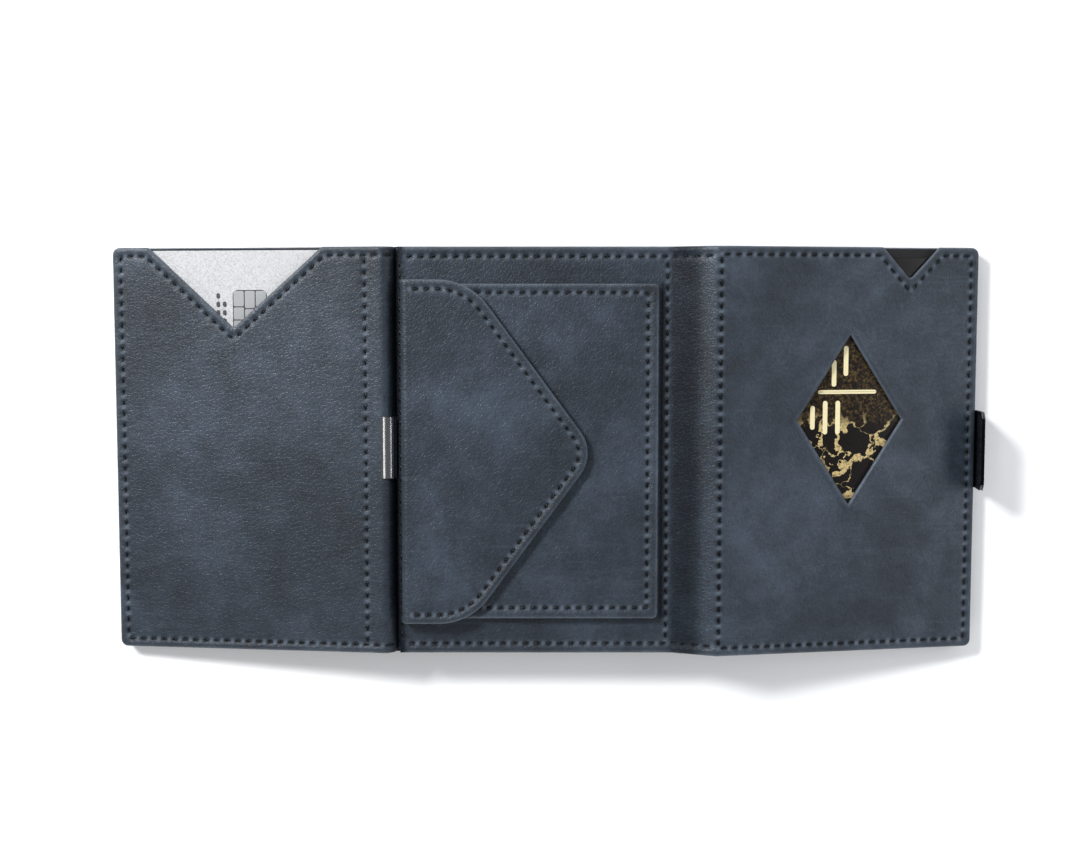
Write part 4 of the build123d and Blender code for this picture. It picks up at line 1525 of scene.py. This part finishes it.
@dataclass
class Cards(Assembly):
    """Silver card with a chip in the left pocket, and a dark stone card in the right one."""

    chip: tuple[float, float] = (-34.2, 31.1)
    chip_size: tuple[float, float, float] = (8.0, 10.6, 1.2)
    pip: tuple[float, float, float] = (0.75, 1.2, 0.35)
    pip_pitch: tuple[float, float] = (1.5, 1.9)
    left_top: float = 2.54       # the cards' faces over the crease lines
    right_top: float = 0.60
    sunk: float = 0.05           # how far each mark reaches into its card

    def build(self) -> None:
        """Dresses the cards and adds the chip's contacts and the raised and printed marks."""
        self.keep("left_card_body", SILVER, "silver_card")
        self.keep("right_card_body", VEINED, "dark_card")
        self.contacts()
        x, y = self.chip
        outlines = self.pips(x - 7.4, y + 4.0, (1, 6))
        top, low = self.left_top, self.left_top - self.sunk
        self.fasten(plates("left_card_raised_pips", outlines, LEFT, low, top + 0.25), GREY_TIPS, "left_card")
        bars = [(23.4, 7.6, 1.1, 5.4), (26.4, 7.6, 1.1, 7.6), (29.4, 7.6, 1.1, 7.6),
                (31.6, 13.4, 14.0, 0.9), (28.4, 17.6, 1.1, 6.0), (31.2, 20.4, 1.1, 6.8)]
        stripes = np.stack([round_rectangle(*bar, 0.5) for bar in bars])
        top, low = self.right_top, self.right_top - self.sunk
        self.fasten(plates("right_card_cream_bars", stripes, RIGHT, low, top + 0.03), CREAM, "right_card")
        outlines = self.pips(38.4, 12.0, (3, 4))
        self.fasten(plates("right_card_raised_pips", outlines, RIGHT, low, top + 0.2), VEINED, "right_card")

    def contacts(self) -> None:
        """Builds the chip's carrier and its nine contact pads, in three columns."""
        (x, y), top = self.chip, self.left_top
        carrier = round_rectangle(x, y, *self.chip_size)[None]
        self.fasten(plates("chip_carrier", carrier, LEFT, top - 0.15, top + 0.012), GAPS, "left_card",
                    "chip_contacts", ["left_card_chip"])
        pads = [(dx, dy, 2.42, tall) for dx in (-2.6, 2.6)
                for dy, tall in ((-3.35, 3.5), (0.0, 2.76), (3.35, 3.5))]
        pads += [(0.0, 3.15, 2.34, 3.9), (0.0, -0.2, 2.34, 2.36), (0.0, -3.35, 2.34, 3.5)]
        outlines = np.stack([round_rectangle(x + dx, y + dy, w, h, 0.35) for dx, dy, w, h in pads])
        self.fasten(plates("chip_pads", outlines, LEFT, top - self.sunk, top + 0.04), PADS, "left_card",
                    "chip_contacts")

    def pips(self, x: float, y: float, left_out: Sequence[int]) -> Array:
        """Outlines of raised pips in two columns of four, which stand for no letter or digit.

        Args:
            x: middle of the first pip along the panel.
            y: its middle across the panel.
            left_out: numbers of the pips that are missing.

        Returns:
            The outlines, pips by points by two.
        """
        across, down = self.pip_pitch
        places = [(x + (k % 2) * across, y - down * (k // 2)) for k in range(8) if k not in left_out]
        return np.stack([round_rectangle(px, py, *self.pip) for px, py in places])


@dataclass
class SteelLock(Assembly):
    """Clip bent round the rolled edge, and the hook that catches beside it."""

    clip_steel: float = 0.5
    clip_low: float = -5.9
    clip_high: float = 7.9
    hook_steel: float = 0.7
    hook_half: float = 8.9
    hook_bend: float = 62.55     # where the hook turns up, just past the panel's edge
    hook_leg: float = 3.8
    leg_base: float = -0.15
    wall_foot: float = 1.75      # height at which the wall starts to lean
    wall: float = 8.05
    lean: float = math.radians(17)
    corner: float = 1.6

    def build(self) -> None:
        """Bends both strips and breaks their edges."""
        line = rounded([(-4.0, 3.78), (-3.4, 4.1), (-0.45, 4.1), (-0.45, 0.6)], [0.5, 2.5], 14)
        clip = prism("lock_clip", thick_line(line, self.clip_steel), LEFT, self.clip_low, self.clip_high)
        self.soften(clip, 0.14)
        self.fasten(clip, POLISHED, "left_panel", "polished_steel", ["spine_clip"])
        out, foot = self.hook_bend + self.hook_steel, self.wall_foot
        sine, cosine = math.sin(self.lean), math.cos(self.lean)
        places = [(out - up * sine, foot + up * cosine) for up in (self.wall, self.wall - self.corner)]
        places += [(out, foot), (out, self.leg_base), (self.hook_bend - self.hook_leg, self.leg_base)]
        profile = thick_line(rounded(places, [0.0, 1.0, 1.0], 8), self.hook_steel)
        hook = prism("lock_hook", profile, RIGHT, -self.hook_half, self.hook_half, chamfer=self.cut_corners)
        self.soften(hook, 0.12)
        # painted shade: the hook is drawn in a darkened copy of the polished steel
        self.fasten(hook, SHADED_STEEL, "right_panel", "polished_steel", ["locking_hook"])

    def cut_corners(self, rise: Array, across: Array) -> Array:
        """Narrows the hook by as much as it rises over the start of its cut corners.

        Args:
            rise: height of each point over the crease line.
            across: its Y on the uncut strip.

        Returns:
            Its Y on the cut strip.
        """
        start = self.wall_foot + (self.wall - self.corner) * math.cos(self.lean)
        limit = self.hook_half - np.clip(rise - start, 0, None)
        return np.clip(across, -limit, limit)

    def soften(self, piece: bpy.types.Object, width: float) -> None:
        """Breaks the sharp edges of a piece with a small bevel.

        Args:
            piece: the piece.
            width: width of the bevel.
        """
        bevel = piece.modifiers.new("broken_edges", "BEVEL")
        bevel.width, bevel.segments, bevel.limit_method = width * MM, 2, "ANGLE"
        bevel.angle_limit = math.radians(50)


@dataclass(frozen=True)
class Lamp:
    """Soft light aimed at the wallet: where it is, its level and its rising size, and its power."""

    name: str
    place: tuple[float, float, float]
    size: tuple[float, float]
    power: float
    colour: str = "#FFFFFF"

    def light(self) -> None:
        """Adds the area light."""
        light = bpy.data.lights.new(self.name, "AREA")
        light.shape, light.energy, light.color = "RECTANGLE", self.power, linear(self.colour)[:3]
        light.size, light.size_y = self.size[0] * MM, self.size[1] * MM
        holder = bpy.data.objects.new(self.name, light)
        holder.location = Vector(self.place) * MM
        holder.rotation_euler = (-Vector(self.place)).to_track_quat("-Z", "Y").to_euler()
        bpy.context.scene.collection.objects.link(holder)


@dataclass
class Studio:
    """Pale floor, soft lights and the camera, which looks down at the open wallet."""

    floor_size: float = 6000.0
    floor_gap: float = 0.2       # keeps the floor clear of the lowest edges
    eye: tuple[float, float, float] = (-1.73, 30.2, 337.0)
    target: tuple[float, float, float] = (-1.73, 4.3, 8.0)
    lens: float = 48.5
    lamps: tuple[Lamp, ...] = (
        Lamp("key", (-380, 330, 420), (170, 110), 5.0),
        Lamp("right_strip", (520, 40, 400), (620, 220), 1.7, "#F4F7FF"),
        Lamp("crown_strip", (-235, -20, 560), (520, 48), 0.2),
        Lamp("near_strip", (0, -520, 230), (900, 60), 1.9),
        Lamp("far_strip", (60, 540, 220), (900, 60), 1.7),
    )

    def build(self) -> None:
        """Sets the floor, the lights, the world and the camera."""
        self.floor()
        for lamp in self.lamps:
            lamp.light()
        self.world()
        self.camera()
        bpy.context.scene.view_settings.view_transform = "Standard"

    def floor(self) -> None:
        """Lays a wide plain floor just under the wallet's lowest point."""
        bpy.ops.mesh.primitive_plane_add(size=self.floor_size * MM, location=(0, 0, -self.floor_gap * MM))
        floor = bpy.context.object
        floor.name = "floor"
        made = bpy.data.materials.new("paper_white_backdrop")
        made.use_nodes = True
        shader = made.node_tree.nodes["Principled BSDF"]
        shader.inputs["Base Color"].default_value = linear("#FBFBFB")
        shader.inputs["Roughness"].default_value = 0.9
        floor.data.materials.append(made)
        floor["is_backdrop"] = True

    def world(self) -> None:
        """Lights the shadows evenly."""
        world = bpy.data.worlds.new("studio")
        world.use_nodes = True
        ground = world.node_tree.nodes["Background"]
        ground.inputs[0].default_value, ground.inputs[1].default_value = linear("#F2F4F7"), 0.14
        bpy.context.scene.world = world

    def camera(self) -> None:
        """Places the camera over the wallet, upright with +Y."""
        lens = bpy.data.cameras.new("camera")
        lens.lens, lens.sensor_width, lens.clip_start = self.lens, 36.0, 0.01
        holder = bpy.data.objects.new("camera", lens)
        holder.location = Vector(self.eye) * MM
        look = Vector(self.target) - Vector(self.eye)
        holder.rotation_euler = (math.atan2(look.y, -look.z), 0.0, 0.0)
        bpy.context.scene.collection.objects.link(holder)
        bpy.context.scene.camera = holder


def main() -> None:
    """Builds the wallet and the studio in order."""
    logging.basicConfig(level=logging.INFO, format="%(name)s: %(message)s")
    parts = BackLeather(), LeftPanel(), CentrePanel(), RightPanel(), CoinPocket(), Cards(), SteelLock()
    for part in parts:
        part.build()
        LOG.info("%s: %d pieces", type(part).__name__, part.pieces)
    Studio().build()
    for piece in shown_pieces():
        LOG.info("%s: %d faces", piece.name, len(piece.data.polygons))


if __name__ == "__main__":
    main()
